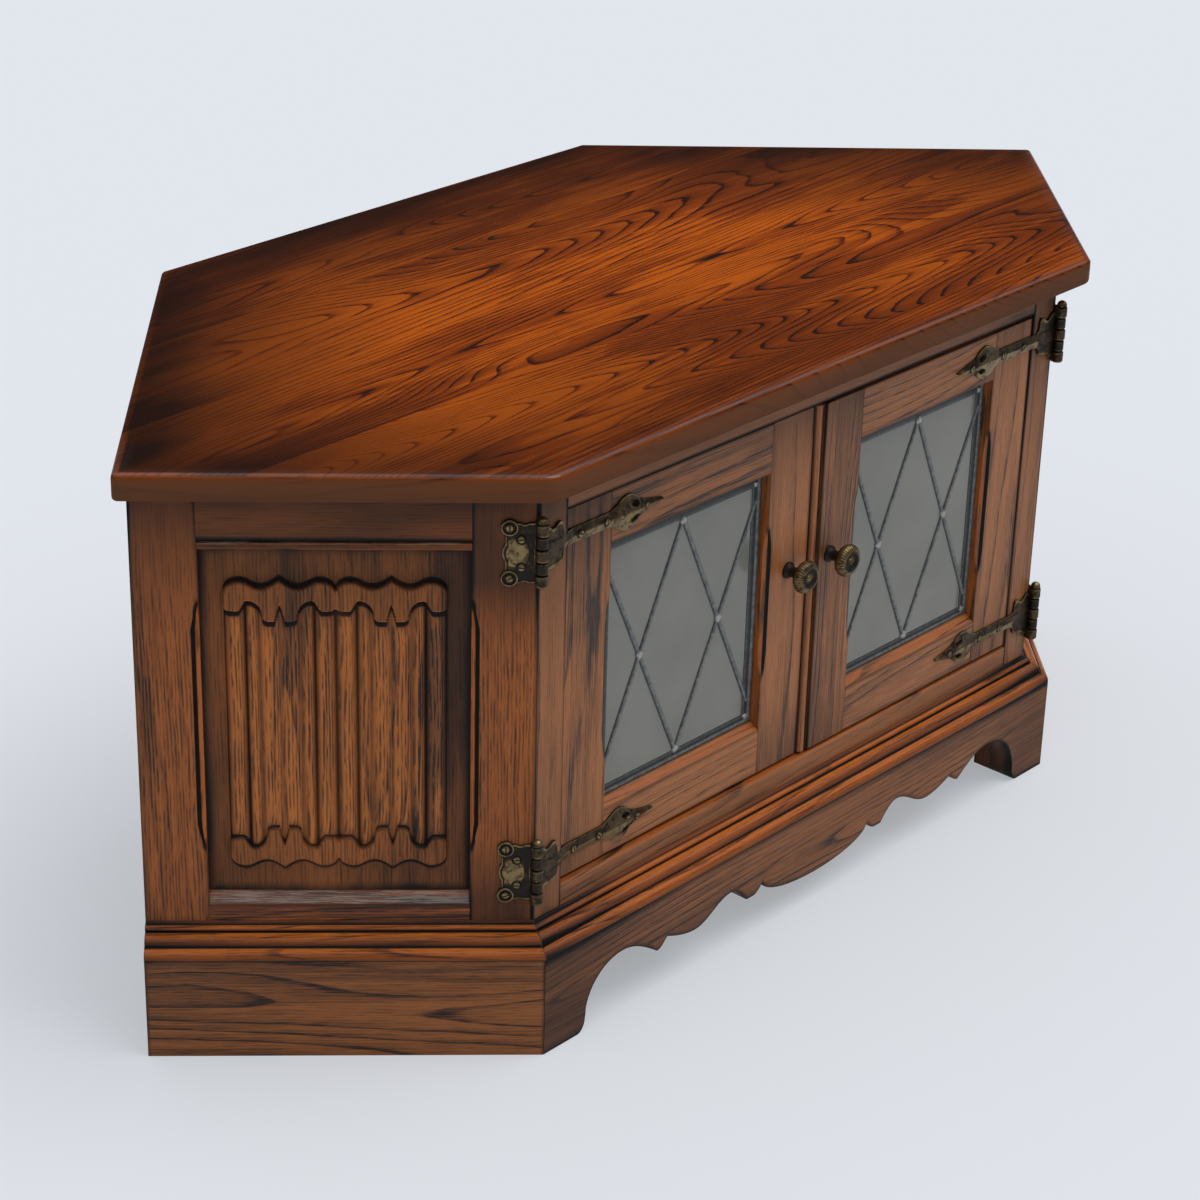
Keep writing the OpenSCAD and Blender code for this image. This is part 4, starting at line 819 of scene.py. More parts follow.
def bandInner(a):
    # Inner edge: a notch in the middle, a flat, a lobe, an arch and a scrolled drop.
    notch, flat, lobe, arch, drop, scroll, end = fold["innerAt"]
    notchUp, lobeUp, archUp, dropUp, endUp = fold["innerUp"]
    return np.select([a < notch, a < flat, a < lobe, a < arch, a < drop, a < scroll], [
        notchUp * np.clip(1 - a / notch, 0, 1) ** 0.7,
        0 * a,
        lobeUp * (1 - roundOff((a - flat) / (lobe - flat))),
        lobeUp + (archUp - lobeUp) * roundOff((arch - a) / (arch - lobe)),
        archUp - (archUp - dropUp) * wave((a - arch) / (drop - arch)),
        dropUp + 0 * a,
    ], endUp - (endUp - dropUp) * roundOff((a - scroll) / (end - scroll)))


def rollHeight(a):
    # Three rolls on each side of the middle: an arc between each pair of valleys.
    height = np.zeros_like(a)
    foot = math.sqrt(1 - fold["bow"])
    for k in range(3):
        lo, hi = fold["rolls"][k:k + 2]
        fromValley, toValley = fold["valleys"][k:k + 2]
        t = (2 * a - lo - hi) / (hi - lo)
        arc = (np.sqrt(np.clip(1 - fold["bow"] * t * t, 0, 1)) - foot) / (1 - foot)
        ends = fromValley + (toValley - fromValley) * (t + 1) / 2
        height = np.where((a >= lo) & (a <= hi), ends + (fold["crest"] - ends) * arc, height)
    return height


def soften(h, passes):
    # Blurs a grid of heights by its neighbours, so that steep cuts get a worked slope.
    for _ in range(passes):
        h = np.pad(h, 1, mode="edge")
        h = (h[:-2, 1:-1] + h[2:, 1:-1] + h[1:-1, :-2] + h[1:-1, 2:] + 4 * h[1:-1, 1:-1]) / 8
    return h


def linenfold(hand):
    # The carved face as one grid of heights: rolls between two scalloped bands on a sunk ground.
    low, high, point = fold["low"], fold["high"], fold["point"]
    middle, lap = wide / 2, 3                                       # the panel laps 3 mm into its grooves
    stretches = [(side["panelLow"] - lap, low - 3, 12), (low - 3, low + 42, 84), (low + 42, high - 42, 40),
                 (high - 42, high + 3, 84)]
    z = np.concatenate([np.linspace(*stretch, endpoint=False) for stretch in stretches]
                       + [np.linspace(high + 3, side["panelHigh"] + lap, 12)])
    s, z = np.meshgrid(np.linspace(side["stile"] - lap, inner + lap, 330), z)
    a = np.abs((s - middle) % fold["width"] - fold["width"] / 2)
    upper = z > (low + high) / 2
    v = np.where(upper, z - (high - point), low + point - z)         # from a band's root towards its tip
    outer, inward = bandOuter(a), bandInner(a)
    inFolds = np.abs(s - middle) <= fold["width"]
    inBand = np.where(inFolds, np.minimum(outer - v, v - inward), -9)
    bandMask = smooth(-0.5, 0.5, inBand)
    fluteMask = np.where(inFolds, smooth(0.5, -0.5, v - inward), 0)
    dip = 1 - 0.45 * np.exp(-np.clip(inward - v, 0, 60) / 4)         # the gouge digs in under the bands
    rolls = rollHeight(a) * dip
    height = np.maximum(rolls * fluteMask, fold["band"] * bandMask * (1 - 0.12 * smooth(2.5, 0, inBand)))
    height = soften(height, 2)
    # Painted light and shade on the carving: dark valleys and lit crests on the rolls, darker near the bands,
    # black painted shadow along the bands' cut edges, a painted highlight on the upper bands' lips, and
    # painted shade round the panel's rim where it runs into the frame.
    valley, crest = 1 - smooth(0.8, 3.6, rolls), smooth(3.6, 4.9, rolls)
    shade = np.select([bandMask > 0.5, fluteMask > 0.5],
                      [0.46 + 0.5 * smooth(2.2, 0.2, inBand),
                       0.95 * valley + 0.2 - 0.6 * crest + 0.3 * smooth(90, 30, v)], 0.7)
    hidden = (v < inward) == upper                                   # painted shadow runs wider below walls that face down
    near = np.where(hidden, smooth(5.4, 2.6, np.abs(inBand)), smooth(2.6, 0.4, np.abs(inBand)))
    lip = smooth(1.7, 0.8, v - inward) * (bandMask >= 0.5) * upper
    shade = soften(np.clip(shade + 1.2 * near * (bandMask < 0.5) - 2.2 * lip, -1, 1.5), 1)
    rim = np.minimum.reduce([s - s.min(), s.max() - s, z - z.min(), z.max() - z])
    shade = np.clip(shade + 0.4 * smooth(12, 3, rim), -1, 1.2)
    ground = side["recess"] + 0.1
    front = np.stack([s, ground - height, z], -1)
    back = np.stack([s, np.full_like(s, ground + fold["thick"]), z], -1)
    uv = np.stack([z, s + height], -1) / 1000
    makePiece(sides[hand] + "LinenfoldPanel", [slab(onSide(front, hand), onSide(back, hand), shade, uv)],
              "carcass", finishes["carved"], [sides[hand] + "_linenfold_panel"], sharp=60)


for hand in sides:
    linenfold(hand)
print("linenfold panels made")


# top board
topBoard = dict(
    thick=20.5, front=25.0, side=25.5, wall=7.5, back=7.5,      # its overhangs
    cornerRadius=18.0, wallCornerRadius=5.0, upperArris=4.0, lowerArris=2.5,
    cornerStain=(0.35, 1.2, 1.3, 1.3, 1.4, 0.9),                # from the front right corner round
)


def planRing(inset):
    # The top's outline drawn in by inset: rounded corners keep their centres until the inset passes them.
    # Between corners run five more points. The third number says how dark the stain is there, light at
    # the front.
    radii = [topBoard["cornerRadius"], topBoard["wallCornerRadius"], topBoard["wallCornerRadius"]]
    arcs = []
    for k, radius in enumerate(radii):
        pull = max(inset, radius)
        f, e, w, b = (topBoard[n] - pull for n in ("front", "side", "wall", "back"))
        corner = [(cabinet["halfWidth"] - f + e / rootHalf, -f),
                  (cornerX + (w + e) * rootHalf, cornerY + (w - e) * rootHalf),
                  (cornerX + cornerY - cabinet["depth"] - b + w / rootHalf, cabinet["depth"] + b)][k]
        start, end = [(-90, -45), (-45, 45), (45, 90)][k]
        a = np.radians(np.linspace(start, end, 9))
        keep = max(radius - inset, 0.0)
        arcs.append(np.array(corner) + keep * np.stack([np.cos(a), np.sin(a)], -1))
    arcs += [arc[::-1] * [-1, 1] for arc in arcs[::-1]]
    points = []
    t = np.linspace(0, 1, 7)[1:-1, None]
    cornerStain = topBoard["cornerStain"]
    for k, (arc, stain) in enumerate(zip(arcs, cornerStain)):
        ahead, aheadStain = arcs[(k + 1) % 6][0], cornerStain[(k + 1) % 6]
        points.append(np.column_stack([arc, np.full(len(arc), stain)]))
        points.append(np.column_stack([arc[-1] * (1 - t) + ahead * t, stain * (1 - t) + aheadStain * t]))
    return np.concatenate(points)


def makeTop():
    # Rings of the outline, drawn in along the edge's profile and on over the top as far as its stain
    # fades: inset, height, stain with painted shade, and gloss with painted sheen of each. The edge's own map
    # runs round it.
    t, r, q = topBoard["thick"], topBoard["upperArris"], topBoard["lowerArris"]
    under = np.radians([0, 30, 60, 90])
    over = np.radians(np.linspace(0, 90, 7))
    # Painted shade on the underside and the edge, darker still along the walls; gloss below 0 is a painted
    # band of greyed floor sheen on the lower edge, above 0 a painted highlight on the upper arris.
    profile = [(60, 0, 0.3, 0)]
    profile += [(q - q * math.sin(a), q - q * math.cos(a), 1.0, -1) for a in under]
    profile += [(0, t / 2, 0.85, -1)]
    profile += [(r - r * math.cos(a), t - r + r * math.sin(a), 0.8, shine)
                for a, shine in zip(over, (-0.9, -0.6, 0, 1, 1.6, 1.6, 1))]
    profile += [(r + 2.5, t, 0.85, 0.6)]
    profile += [(inset, t, stain, 0) for inset, stain in zip((14, 30, 55, 90, 130, 175, 215),
                                                             (0.85, 0.82, 0.74, 0.6, 0.42, 0.2, 0.0))]
    inset, z, stain, shine = np.array(profile, float).T[..., None]
    rings = np.stack([planRing(k) for k in inset[:, 0]])
    height = np.broadcast_to(top + z, rings.shape[:2])
    grid = np.stack([rings[..., 0], rings[..., 1], height], -1)
    walled = smooth(cornerY, cornerY + 12, rings[5, :, 1])           # 1 along the walls, 0 in front
    onTop = (z >= t) & (inset > r)
    shade = np.where(onTop, stain * rings[..., 2], stain + walled * 0.25)
    ring = closed(grid, 1)
    around = np.broadcast_to(runLengths(ring[5]), ring.shape[:2])
    edge = np.stack([around, ring[..., 2] * 0.6], -1)
    uv, edge = [np.stack([k[:-1], k[1:]], 1) / 1000 for k in (ring[..., :2], edge)]
    uv[1:9] = edge[1:9]
    makePiece("topBoard", [skin(onFront(grid), shade, uv)], "carcass", finishes["top"],
              ["top_board"], sharp=50, glossAndSheen=shine * (1 - walled))


makeTop()
print("top made")


# plinth and moulding
plinth = dict(thick=23.0, high=83.5, mouldingHigh=22.5)
apronHalf = outline((0, 25.0), ("quarter", 68, 43.5), ("settle", 79.5, 35.3), ("line", 87.5, 35.3),
                    ("settle", 108.3, 50.5), ("ogee", 150.8, 34.8), ("sweep", 185, 43.5),
                    ("settle", 196.5, 35.3), ("settle", 237.8, 54.0), ("quarter", 279, 12.0),
                    ("toe", 288, 0.0), ("line", 300, 0.0), ("line", 312, 0.0), ("line", 325, 0.0))


def makeApron():
    # The scalloped lower edge carried up to the top edge, with an eased arris that follows the edge's normal.
    edge = np.concatenate([apronHalf[:0:-1] * [-1, 1], apronHalf])
    run = np.gradient(edge, axis=0)
    run /= np.maximum(np.linalg.norm(run, axis=1, keepdims=True), 1e-9)
    into = np.stack([-run[:, 1], run[:, 0]], -1)
    t, high = plinth["thick"], plinth["high"]

    def lower(depth, inward, lift=0.0):
        x, z = (edge + into * inward).T
        return np.stack([x, np.full(len(x), depth), z + lift], -1)

    def upper(depth, z):
        return np.stack([edge[:, 0], np.full(len(edge), depth), np.full(len(edge), z)], -1)

    columns = [upper(-t + 0.4, high), upper(-t, high - 0.4), upper(-t, high - 6), lower(-t, 0.0, 5.0),
               lower(-t, 1.0), lower(-t + 0.3, 0.3), lower(-t + 1, 0.0), lower(-t / 2, 0.0), lower(0, 0.0),
               upper(0, high)]
    # Painted shade on the eased arrises and on the scalloped edge's underside, little on the face.
    shades = [1, 1, 0.1, 0.1, 0.9, 1, 1, 0.5, 0.7, 0.3]
    grid = np.stack(columns, 1)
    for end, sign in ((0, -1), (-1, 1)):
        grid[end, :, 0] = sign * (cabinet["halfWidth"] - grid[end, :, 1] * mitre)
    grid[:, :, 2] = np.clip(grid[:, :, 2], 0, high)
    ring = closed(grid, 1)
    uv = np.stack([ring[..., 0], ring[..., 2] + ring[..., 1]], -1) / 1000
    shade = shades + 0.5 * smooth(190, 300, np.abs(grid[:, :, 0]))             # darker over the feet
    makePiece("plinthApron", [skin(onFront(grid), shade, uv)], "carcass", finishes["plinth"],
              ["plinth_apron"])


makeApron()
for hand, word in sides.items():
    t = plinth["thick"]
    board = beam([(-t * mitre, -t), (wide, -t), (wide, 0), (0, 0)], beamStations(0.0, plinth["high"]), 0.8)
    beamPiece(word + "Plinth", onSide, hand, board, "carcass", finishes["plinth"],
              "plinth_" + word, swapGrain=True)


def mouldingProfile():
    # Out from the body and up, from the plinth's edge to the frame: ovolo, quirk, broad ovolo, bead and cove.
    # The third number is painted shade, dark in the quirks, and below 0 painted light on the crests.
    t, base, high = plinth["thick"], plinth["high"], plinth["mouldingHigh"]
    a = np.radians(np.linspace(0, 90, 8))
    lower = np.stack([0.75 + 0.25 * np.cos(a), 0.05 + 0.29 * np.sin(a), np.linspace(0.7, -0.6, 8)], -1)
    broad = np.stack([0.34 + 0.32 * np.cos(a), 0.43 + 0.27 * np.sin(a), np.linspace(0.9, -0.6, 8)], -1)
    b = np.radians(np.linspace(-60, 100, 8))
    bead = np.stack([0.2 + 0.09 * np.cos(b), 0.81 + 0.09 * np.sin(b), 0.5 - 0.9 * np.sin(b)], -1)
    c = np.radians(np.linspace(0, 90, 5))
    cove = np.stack([0.15 - 0.15 * np.sin(c), 1 - 0.08 * np.cos(c), np.linspace(1, 0.6, 5)], -1)
    points = np.concatenate([[(0, 0, 1), (0.98, 0, 1), (1, 0.015, 1), (1, 0.05, 0.8)], lower,
                             [(0.74, 0.39, 1), (0.68, 0.39, 1)], broad, [(0.3, 0.7, 1), (0.28, 0.73, 1)],
                             bead, cove])
    points[:, 2] = np.where(points[:, 2] > 0.99, 1.2, points[:, 2])
    return points * [t, high, 1] + [0, base, 0]


def mouldingPiece(name, place, hand, starts, ends, replaced, burst):
    # The moulding's profile between two ends; each end gives its place for every projection. burst darkens it
    # towards them.
    profile = mouldingProfile()
    out = profile[:, 0]
    shares = np.array([0, 0.003, 0.006, 0.06, 0.16, 0.5, 0.84, 0.94, 0.994, 0.997, 1])[:, None]
    along = starts(out) * (1 - shares) + ends(out) * shares
    grid = np.stack(np.broadcast_arrays(along, -out, profile[:, 1]), -1)
    shade = profile[:, 2] + np.abs(shares * 2 - 1) ** 5 * burst
    shade[[0, -1]] = 1
    uv = closed(along, 1)
    uv = np.stack([uv, np.broadcast_to(runLengths(closed(profile[:, :2])), uv.shape)], -1) / 1000
    makePiece(name, [skin(place(grid, hand), shade, uv)], "carcass", finishes["moulding"],
              [replaced], sharp=40)


for hand, word in sides.items():
    mouldingPiece(word + "BaseMoulding", onSide, hand, lambda out: -out * mitre, lambda out: wide + 0 * out,
                  "base_moulding_" + word, 0.3)
mouldingPiece("frontBaseMoulding", onFront, 1, lambda out: -cabinet["halfWidth"] - out * mitre,
              lambda out: cabinet["halfWidth"] + out * mitre, "base_moulding_front", 0.8)
print("plinth and moulding made")


# turned work
def turned(profile, centre, count, upright=False, ripple=None):
    # A profile of (radius, height, shade) carried round in count steps, standing out of a front face or
    # upright on z. ripple adds to the radius: radius + ripple(angle) * the fourth number of the profile.
    a = np.linspace(0, 2 * np.pi, count, endpoint=False)
    profile = np.asarray(profile, float)
    r, h, shade = profile[:, 0], profile[:, 1], profile[:, 2]
    radius = np.broadcast_to(r[:, None], (len(r), count))
    if ripple is not None:
        radius = radius + profile[:, 3:] * ripple(a)
    across, along = radius * np.cos(a), radius * np.sin(a)
    height = np.broadcast_to(h[:, None], across.shape)
    parts = [across, along, height] if upright else [across, -height, along]
    return np.stack(parts, -1) + np.asarray(centre, float), np.broadcast_to(shade[:, None], across.shape)


def arcPoints(x, y, radius, start, end, count):
    a = np.radians(np.linspace(start, end, count))
    return np.stack([x + radius * np.cos(a), y + radius * np.sin(a)], -1)


knob = dict(radius=13.5, length=24.5, bun=5.0, inset=23.0, rise=20.0, stem=4.3, ribs=36, ribDepth=0.35)


def makeKnob(hand):
    # A turned bun on a waisted stem; the bun's front shoulder ripples with the angle to make its ribs.
    n, r, bun, stem, ribs = [knob[word] for word in ("length", "radius", "bun", "stem", "ribs")]
    line = np.concatenate([
        [(0.05, -9), (3.0, -9), (3.0, 0), (stem + 2.6, 0.02), (stem + 2.6, 1.4), (stem + 0.8, 2.8), (stem, 5),
         (stem, n - 14), (stem + 1.6, n - 12.4)], arcPoints(r - bun, n - bun - 1, bun, -75, 78, 20),
        [(r - bun - inset, n - sunk) for inset, sunk in ((1.1, 0.5), (1.5, 0.9), (2.2, 1.7), (3.4, 2.4))],
        arcPoints(0, n - 4.2, 3.2, 20, 88, 5)])
    radius, height = line[:, 0], line[:, 1]
    shoulder = smooth(n - 7, n - 3.2, height) * smooth(r - bun - 0.4, r - bun + 1.5, radius)
    # Painted shade on the stem, under the bun and in its dished middle, painted light on the bun's front rim;
    # below, the rib grooves get painted shade too.
    shade = np.select([height < n - 11.5, height < n - 7.5, radius > r - bun - 0.3, radius > 3.3],
                      [0.75, 0.35, -0.1, 0.85], 0.1)
    profile = np.stack([radius, height, shade, -knob["ribDepth"] * shoulder], -1)
    centre = (door["width"] - knob["inset"], 0, door["height"] / 2 + knob["rise"])

    def groove(a):
        return 0.5 + 0.5 * np.cos(ribs * a)

    grid, shade = turned(profile, centre, ribs * 5, ripple=groove)
    shade = shade + 0.6 * shoulder[:, None] * groove(np.linspace(0, 2 * np.pi, ribs * 5, endpoint=False))
    makePiece(sides[hand] + "Knob", [skin(onDoor(grid, hand), shade)], sides[hand] + "_door",
              finishes["brass"], [sides[hand] + "_door_knob"], sharp=40)


for hand in sides:
    makeKnob(hand)
print("knobs made")


# hinges
hinge = dict(
    heights=(148.5, 411.0), axisIn=2.195, axisOff=5.3, knuckle=4.8, pitch=10.0, gap=0.25, pin=2.2,
    pinHead=4.2, leafStart=2.0, leafEnd=24.0, leafHalf=23.5, thick=2.0, boss=6.3, bossAt=(21.0, 19.8),
    bulge=12.0, bulgeAt=(14.3, 0.0), scallop=((10.2, 26.9), 4.5), innerScrew=(12.5, 10.9), screw=3.1,
    screwHigh=1.6,
    strapThick=2.6, spearThick=4.4, strapScrews=(15.0, 43.5, 87.0), almond=(73.6, 5.8), strapSeat=-0.3,
)


def hit(way, centre, radius, far):
    # How far along unit directions a circle's near or far side lies; nothing where they miss.
    ahead = way @ np.array(centre)
    rest = ahead ** 2 - np.dot(centre, centre) + radius ** 2
    root = np.sqrt(np.where(rest >= 0, rest, np.nan))
    reach = ahead + root if far else ahead - root
    return np.where(reach > 0, reach, np.nan)


def screwHead(place, hand, centre, turn):
    # A round head: a square grid pressed into a disc, domed, with a slot cut across it.
    acrossSlot = [-1, -0.9, -0.7, -0.42, -0.17, -0.12, 0.12, 0.17, 0.42, 0.7, 0.9, 1]
    u, v = np.meshgrid(acrossSlot, np.linspace(-1, 1, 9), indexing="ij")
    a, b = u * np.sqrt(1 - v * v / 2), v * np.sqrt(1 - u * u / 2)
    rho = np.sqrt(a * a + b * b)
    slot = (np.abs(u) < 0.15) & (rho < 0.97)
    high = hinge["screwHigh"] * roundOff(rho) ** 0.8
    high = np.where(slot, np.minimum(high, 0.75), high)
    r = hinge["screw"]
    x = r * (a * math.cos(turn) - b * math.sin(turn)) + centre[0]
    z = r * (a * math.sin(turn) + b * math.cos(turn)) + centre[2]
    front = np.stack([x, centre[1] - high, z], -1)
    back = np.stack([x, np.full_like(x, centre[1] + 0.8), z], -1)
    # Painted shade in the slot and round the edge of the head, painted light on the dome.
    shade = np.where(slot, 1.0, -0.2 + 1.0 * smooth(0.75, 1.0, rho))
    return slab(place(front, hand), place(back, hand), shade, np.stack([u, v], -1) / 200)


def leafSkin(hand, height):
    # Rings about a point inside the leaf, out to a rectangle cut by two scallops and joined by two bosses
    # and a round bulge. Inwards: the wall, a rim with a painted highlight, a dark moat, a sunk ground and
    # the swell of the bulge.
    start, end, half = hinge["leafStart"], hinge["leafEnd"], hinge["leafHalf"]
    a = np.linspace(0, 2 * np.pi, 360, endpoint=False)
    way = np.stack([np.cos(a), np.sin(a)], -1)
    middle = np.array([12.0, 0.0])
    with np.errstate(divide="ignore"):
        reach = np.minimum(np.where(way[:, 0] > 0, end - middle[0], middle[0] - start) / np.abs(way[:, 0]),
                           half / np.abs(way[:, 1]))
    scallopAt, scallop = hinge["scallop"]
    for mirror in ([1, -1], [1, 1]):
        reach = np.fmin(reach, hit(way, scallopAt * np.array(mirror) - middle, scallop, False))
    for mirror in ([1, -1], [1, 1]):
        reach = np.fmax(reach, hit(way, hinge["bossAt"] * np.array(mirror) - middle, hinge["boss"], True))
    reach = np.fmax(reach, hit(way, hinge["bulgeAt"] - middle, hinge["bulge"], True))
    t = hinge["thick"]
    rings = [(0, 0.05, 0.9), (0, t - 0.5, 0.5), (0.35, t, -0.1), (1.1, t + 0.1, 0.0), (1.6, t - 0.3, 0.9),
             (2.3, t - 0.4, 0.8)]
    radii = [reach - pull for pull, _, _ in rings]
    radii += [radii[-1] * share for share in np.linspace(0.93, 0.02, 18)]
    s, z = np.moveaxis(middle + np.stack(radii)[..., None] * way, -1, 0)
    swell = roundOff(np.hypot((s - 17) / 10.5, z / 11.5))
    ix, iz = hinge["innerScrew"]
    moat = smooth(4.6, 3.6, np.hypot(s - ix, np.abs(z) - iz))
    high = t - 0.4 + 0.9 * swell
    shade = np.clip(0.75 - 0.75 * smooth(0.0, 0.5, swell) + moat, -0.3, 1)
    for k, (_, h, tint) in enumerate(rings):
        high[k], shade[k] = h, tint
    grid = np.stack([s, -high, z + height], -1)
    return skin(onSide(grid, hand), shade)


def barrel(place, hand, centre, which, height, box):
    # One of five barrels, counted from below, with eased ends and end faces darkened by painted shade in
    # the gaps, and the small block from it to its plate, which box gives as ((x, x), (y, y)). The door's
    # barrels are a little slimmer and painted darker, as shaded between the carcass's.
    moving = which % 2
    r, barrelShade = hinge["knuckle"] - 0.4 * moving, 0.45 + 0.3 * moving
    low = height + (which - 2.5) * hinge["pitch"] + hinge["gap"]
    high = low + hinge["pitch"] - 2 * hinge["gap"]
    rise = [(0.05, 0, 1), (r - 1.6, 0, 1), (r - 0.6, 0.3, 0.9), (r, 1.0, barrelShade - 0.5), (r, 2.0, barrelShade)]
    profile = [(radius, low + up, shade) for radius, up, shade in rise]
    profile += [(radius, high - up, shade) for radius, up, shade in rise[::-1]]
    grid, shade = turned(profile, (*centre, 0), 40, upright=True)
    (x0, x1), (y0, y1) = box
    corners = [(x0, y0), (x1, y0), (x1, y1), (x0, y1)]
    block, blockShade, uv = beam(corners, [low, low + 0.2, high - 0.2, high], 0.15, inset=0.1)
    return [skin(place(grid, hand), shade), skin(place(block, hand), blockShade * 0 + 0.7, uv)]


def onStrap(p, hand):
    # x from the face stile's edge towards the middle, y in from the face, z up.
    return onFront(np.stack([doorway - p[..., 0], p[..., 1], p[..., 2]], -1), hand)


spear = (("settle", -3, 6.0), ("line", 46, 6.0), ("ogee", 67.6, 14.5), ("ogee", 89, 4.6), ("line", 106, 0.4))
strapUpper = outline((-28.0, 20.0), ("line", -26, 20.6), ("ogee", -17.5, 15.2), ("ogee", -10, 18.8),
                     ("line", -8.4, 18.4), ("quarter", -6.6, 9.0), *spear)
strapLower = outline((-28.0, 20.0), ("line", -26, 20.0), ("ogee", -19.5, 16.0), ("line", -13, 14.6),
                     ("line", -8.6, 13.2), ("quarter", -6.6, 8.0), *spear)


def strapSkin(hand, height):
    # Rows along the strap, each from its upper edge to its lower one: a ridge down the middle, two almond
    # holes through the spearhead, a sunk plate with a raised rim beside the knuckles.
    recess, seat = door["recess"][hand], hinge["strapSeat"]
    x = np.unique(np.concatenate([[-28, -27.7], np.arange(-27, 46, 0.9), np.arange(46, 92, 0.7),
                                  np.arange(92, 105.5, 1.5), [105.7, 106]]).round(3))
    share = np.concatenate([[-1, -0.985], np.linspace(-0.95, 0.95, 43), [0.985, 1]])
    upper, lower = [np.interp(x, *edge.T)[:, None] for edge in (strapUpper, strapLower)]
    z = share * np.where(share > 0, upper, lower)
    x, away = np.broadcast_arrays(x[:, None], np.abs(share))        # away: 0 on the ridge, 1 on either edge
    cranked = np.interp(x, [-28, -7, 8, 106], [seat, seat, recess, recess])
    onSpear = smooth(46, 56, x) * smooth(92, 80, x)
    onPlate = smooth(-4, -7, x)
    shank = hinge["strapThick"] + 0.6
    crown, edge = shank + (hinge["spearThick"] - shank) * onSpear, 1.3 + 0.2 * onSpear
    flat = hinge["thick"] - 0.5 + 0.5 * smooth(0.8, 0.92, away) + 0.8 * smooth(6.5, 5, np.abs(z))
    high = (edge + (crown - edge) * (1 - away)) * (1 - onPlate) + flat * onPlate
    holeX, holeZ = hinge["almond"]
    oval = ((x - holeX) / 4.2) ** 2 + ((np.abs(z) - holeZ + (x - holeX) * 0.25) / 2.3) ** 2
    hole = smooth(1.25, 0.75, oval)
    lip = smooth(2.4, 1.2, oval) - hole
    notches = np.exp(-((x - 81) / 2.6) ** 2) * smooth(2, 4, np.abs(z))      # two behind the neck screw
    high = high + 0.4 * np.clip(lip, 0, 1) * onSpear - 0.7 * notches
    high = np.maximum(high * (1 - hole) + 0.35 * hole, 0.3)
    high[:, [0, -1]] = 0.4
    high[[0, -1]] = np.minimum(high[[0, -1]], 0.8)
    # Painted reflection: the upper half dark, as mirroring the dark room, the lower half light, as mirroring
    # the floor; painted highlights along the ridge, the edges and the plate's rim, painted shade in the holes
    # and notches.
    slope = np.where(z > 0, 0.55 - 0.15 * onSpear, 0.02)
    slope = slope - 0.5 * smooth(0.9, 0.96, away) - 0.25 * smooth(1.2, 0.3, np.abs(z))
    rim = smooth(0.8, 0.92, away) * (away < 0.99)
    shade = slope * (1 - onPlate) + (0.55 - 0.7 * rim) * onPlate
    moat = sum(smooth(4.4, 3.6, np.hypot(x - place, z)) for place in hinge["strapScrews"])
    shade = np.maximum.reduce([shade, hole * 1.3, 0.7 * notches, 0.9 * moat])
    shade[:, [0, -1]] = 1
    under = np.interp(x, [-28, 0, 1.5, 106], [seat, seat, recess, recess])
    front, back = [np.stack([x, depth, z + height], -1) for depth in (cranked - high, under)]
    section = np.concatenate([front, back[:, [-1, 0]]], 1)
    shade = np.concatenate([shade, np.ones((len(x), 2))], 1)
    return skin(onStrap(section, hand), np.clip(shade, -0.4, 1))


def bossSkin(hand, centre):
    # The raised ring round a screw of the leaf: a rim with a painted highlight between two dark feet.
    boss, t = hinge["boss"], hinge["thick"]
    section = [(boss - 2.2, 0.3, 1), (boss - 0.05, 0.3, 0.9), (boss, t + 0.2, 0.3),
               (boss - 0.4, t + 0.75, -0.2), (boss - 1.1, t + 0.8, 0.0), (boss - 1.5, t + 0.3, 0.9),
               (boss - 1.9, t - 0.1, 1)]
    grid, shade = turned(section, centre, 40)
    return skin(onSide(grid, hand), shade, loop=True)


def brassPiece(name, skins, body, replaced, sharp):
    makePiece(name, skins, body, finishes["brass"], [replaced], sharp=sharp)


def makeHinges(hand):
    word, doorBody = sides[hand], sides[hand] + "_door"
    axis = np.array([-hinge["axisIn"], -hinge["axisOff"]])
    frontAxis = axis * [-1, 1] + [cabinet["halfWidth"], 0]
    t, seat, (bossX, bossZ) = hinge["thick"], hinge["strapSeat"], hinge["bossAt"]
    leaves = []
    for height in hinge["heights"]:
        leaves.append(leafSkin(hand, height))
        leaves += [bossSkin(hand, (bossX, 0, height + sign * bossZ)) for sign in (-1, 1)]
        for which in (0, 2, 4):
            leaves += barrel(onSide, hand, axis, which, height, ((axis[0], 3.0), (-t, 0.0)))
    brassPiece(word + "HingeLeaves", leaves, "carcass", word + "_hinge_leaves", 50)
    for level, height in zip(("lower", "upper"), hinge["heights"]):
        skins = [strapSkin(hand, height)]
        for which in (1, 3):
            box = ((cabinet["halfWidth"] - 3.0, frontAxis[0]), (seat - t, seat))
            skins += barrel(onFront, hand, frontAxis, which, height, box)
        brassPiece(f"{word}{level.title()}Strap", skins, doorBody, f"{word}_{level}_strap", 50)
    depth = door["recess"][hand] - hinge["strapThick"] + 0.1
    screws = [screwHead(onStrap, hand, (x, depth, height), x * height)
              for height in hinge["heights"] for x in hinge["strapScrews"]]
    brassPiece(word + "StrapScrews", screws, doorBody, word + "_strap_screws", 35)


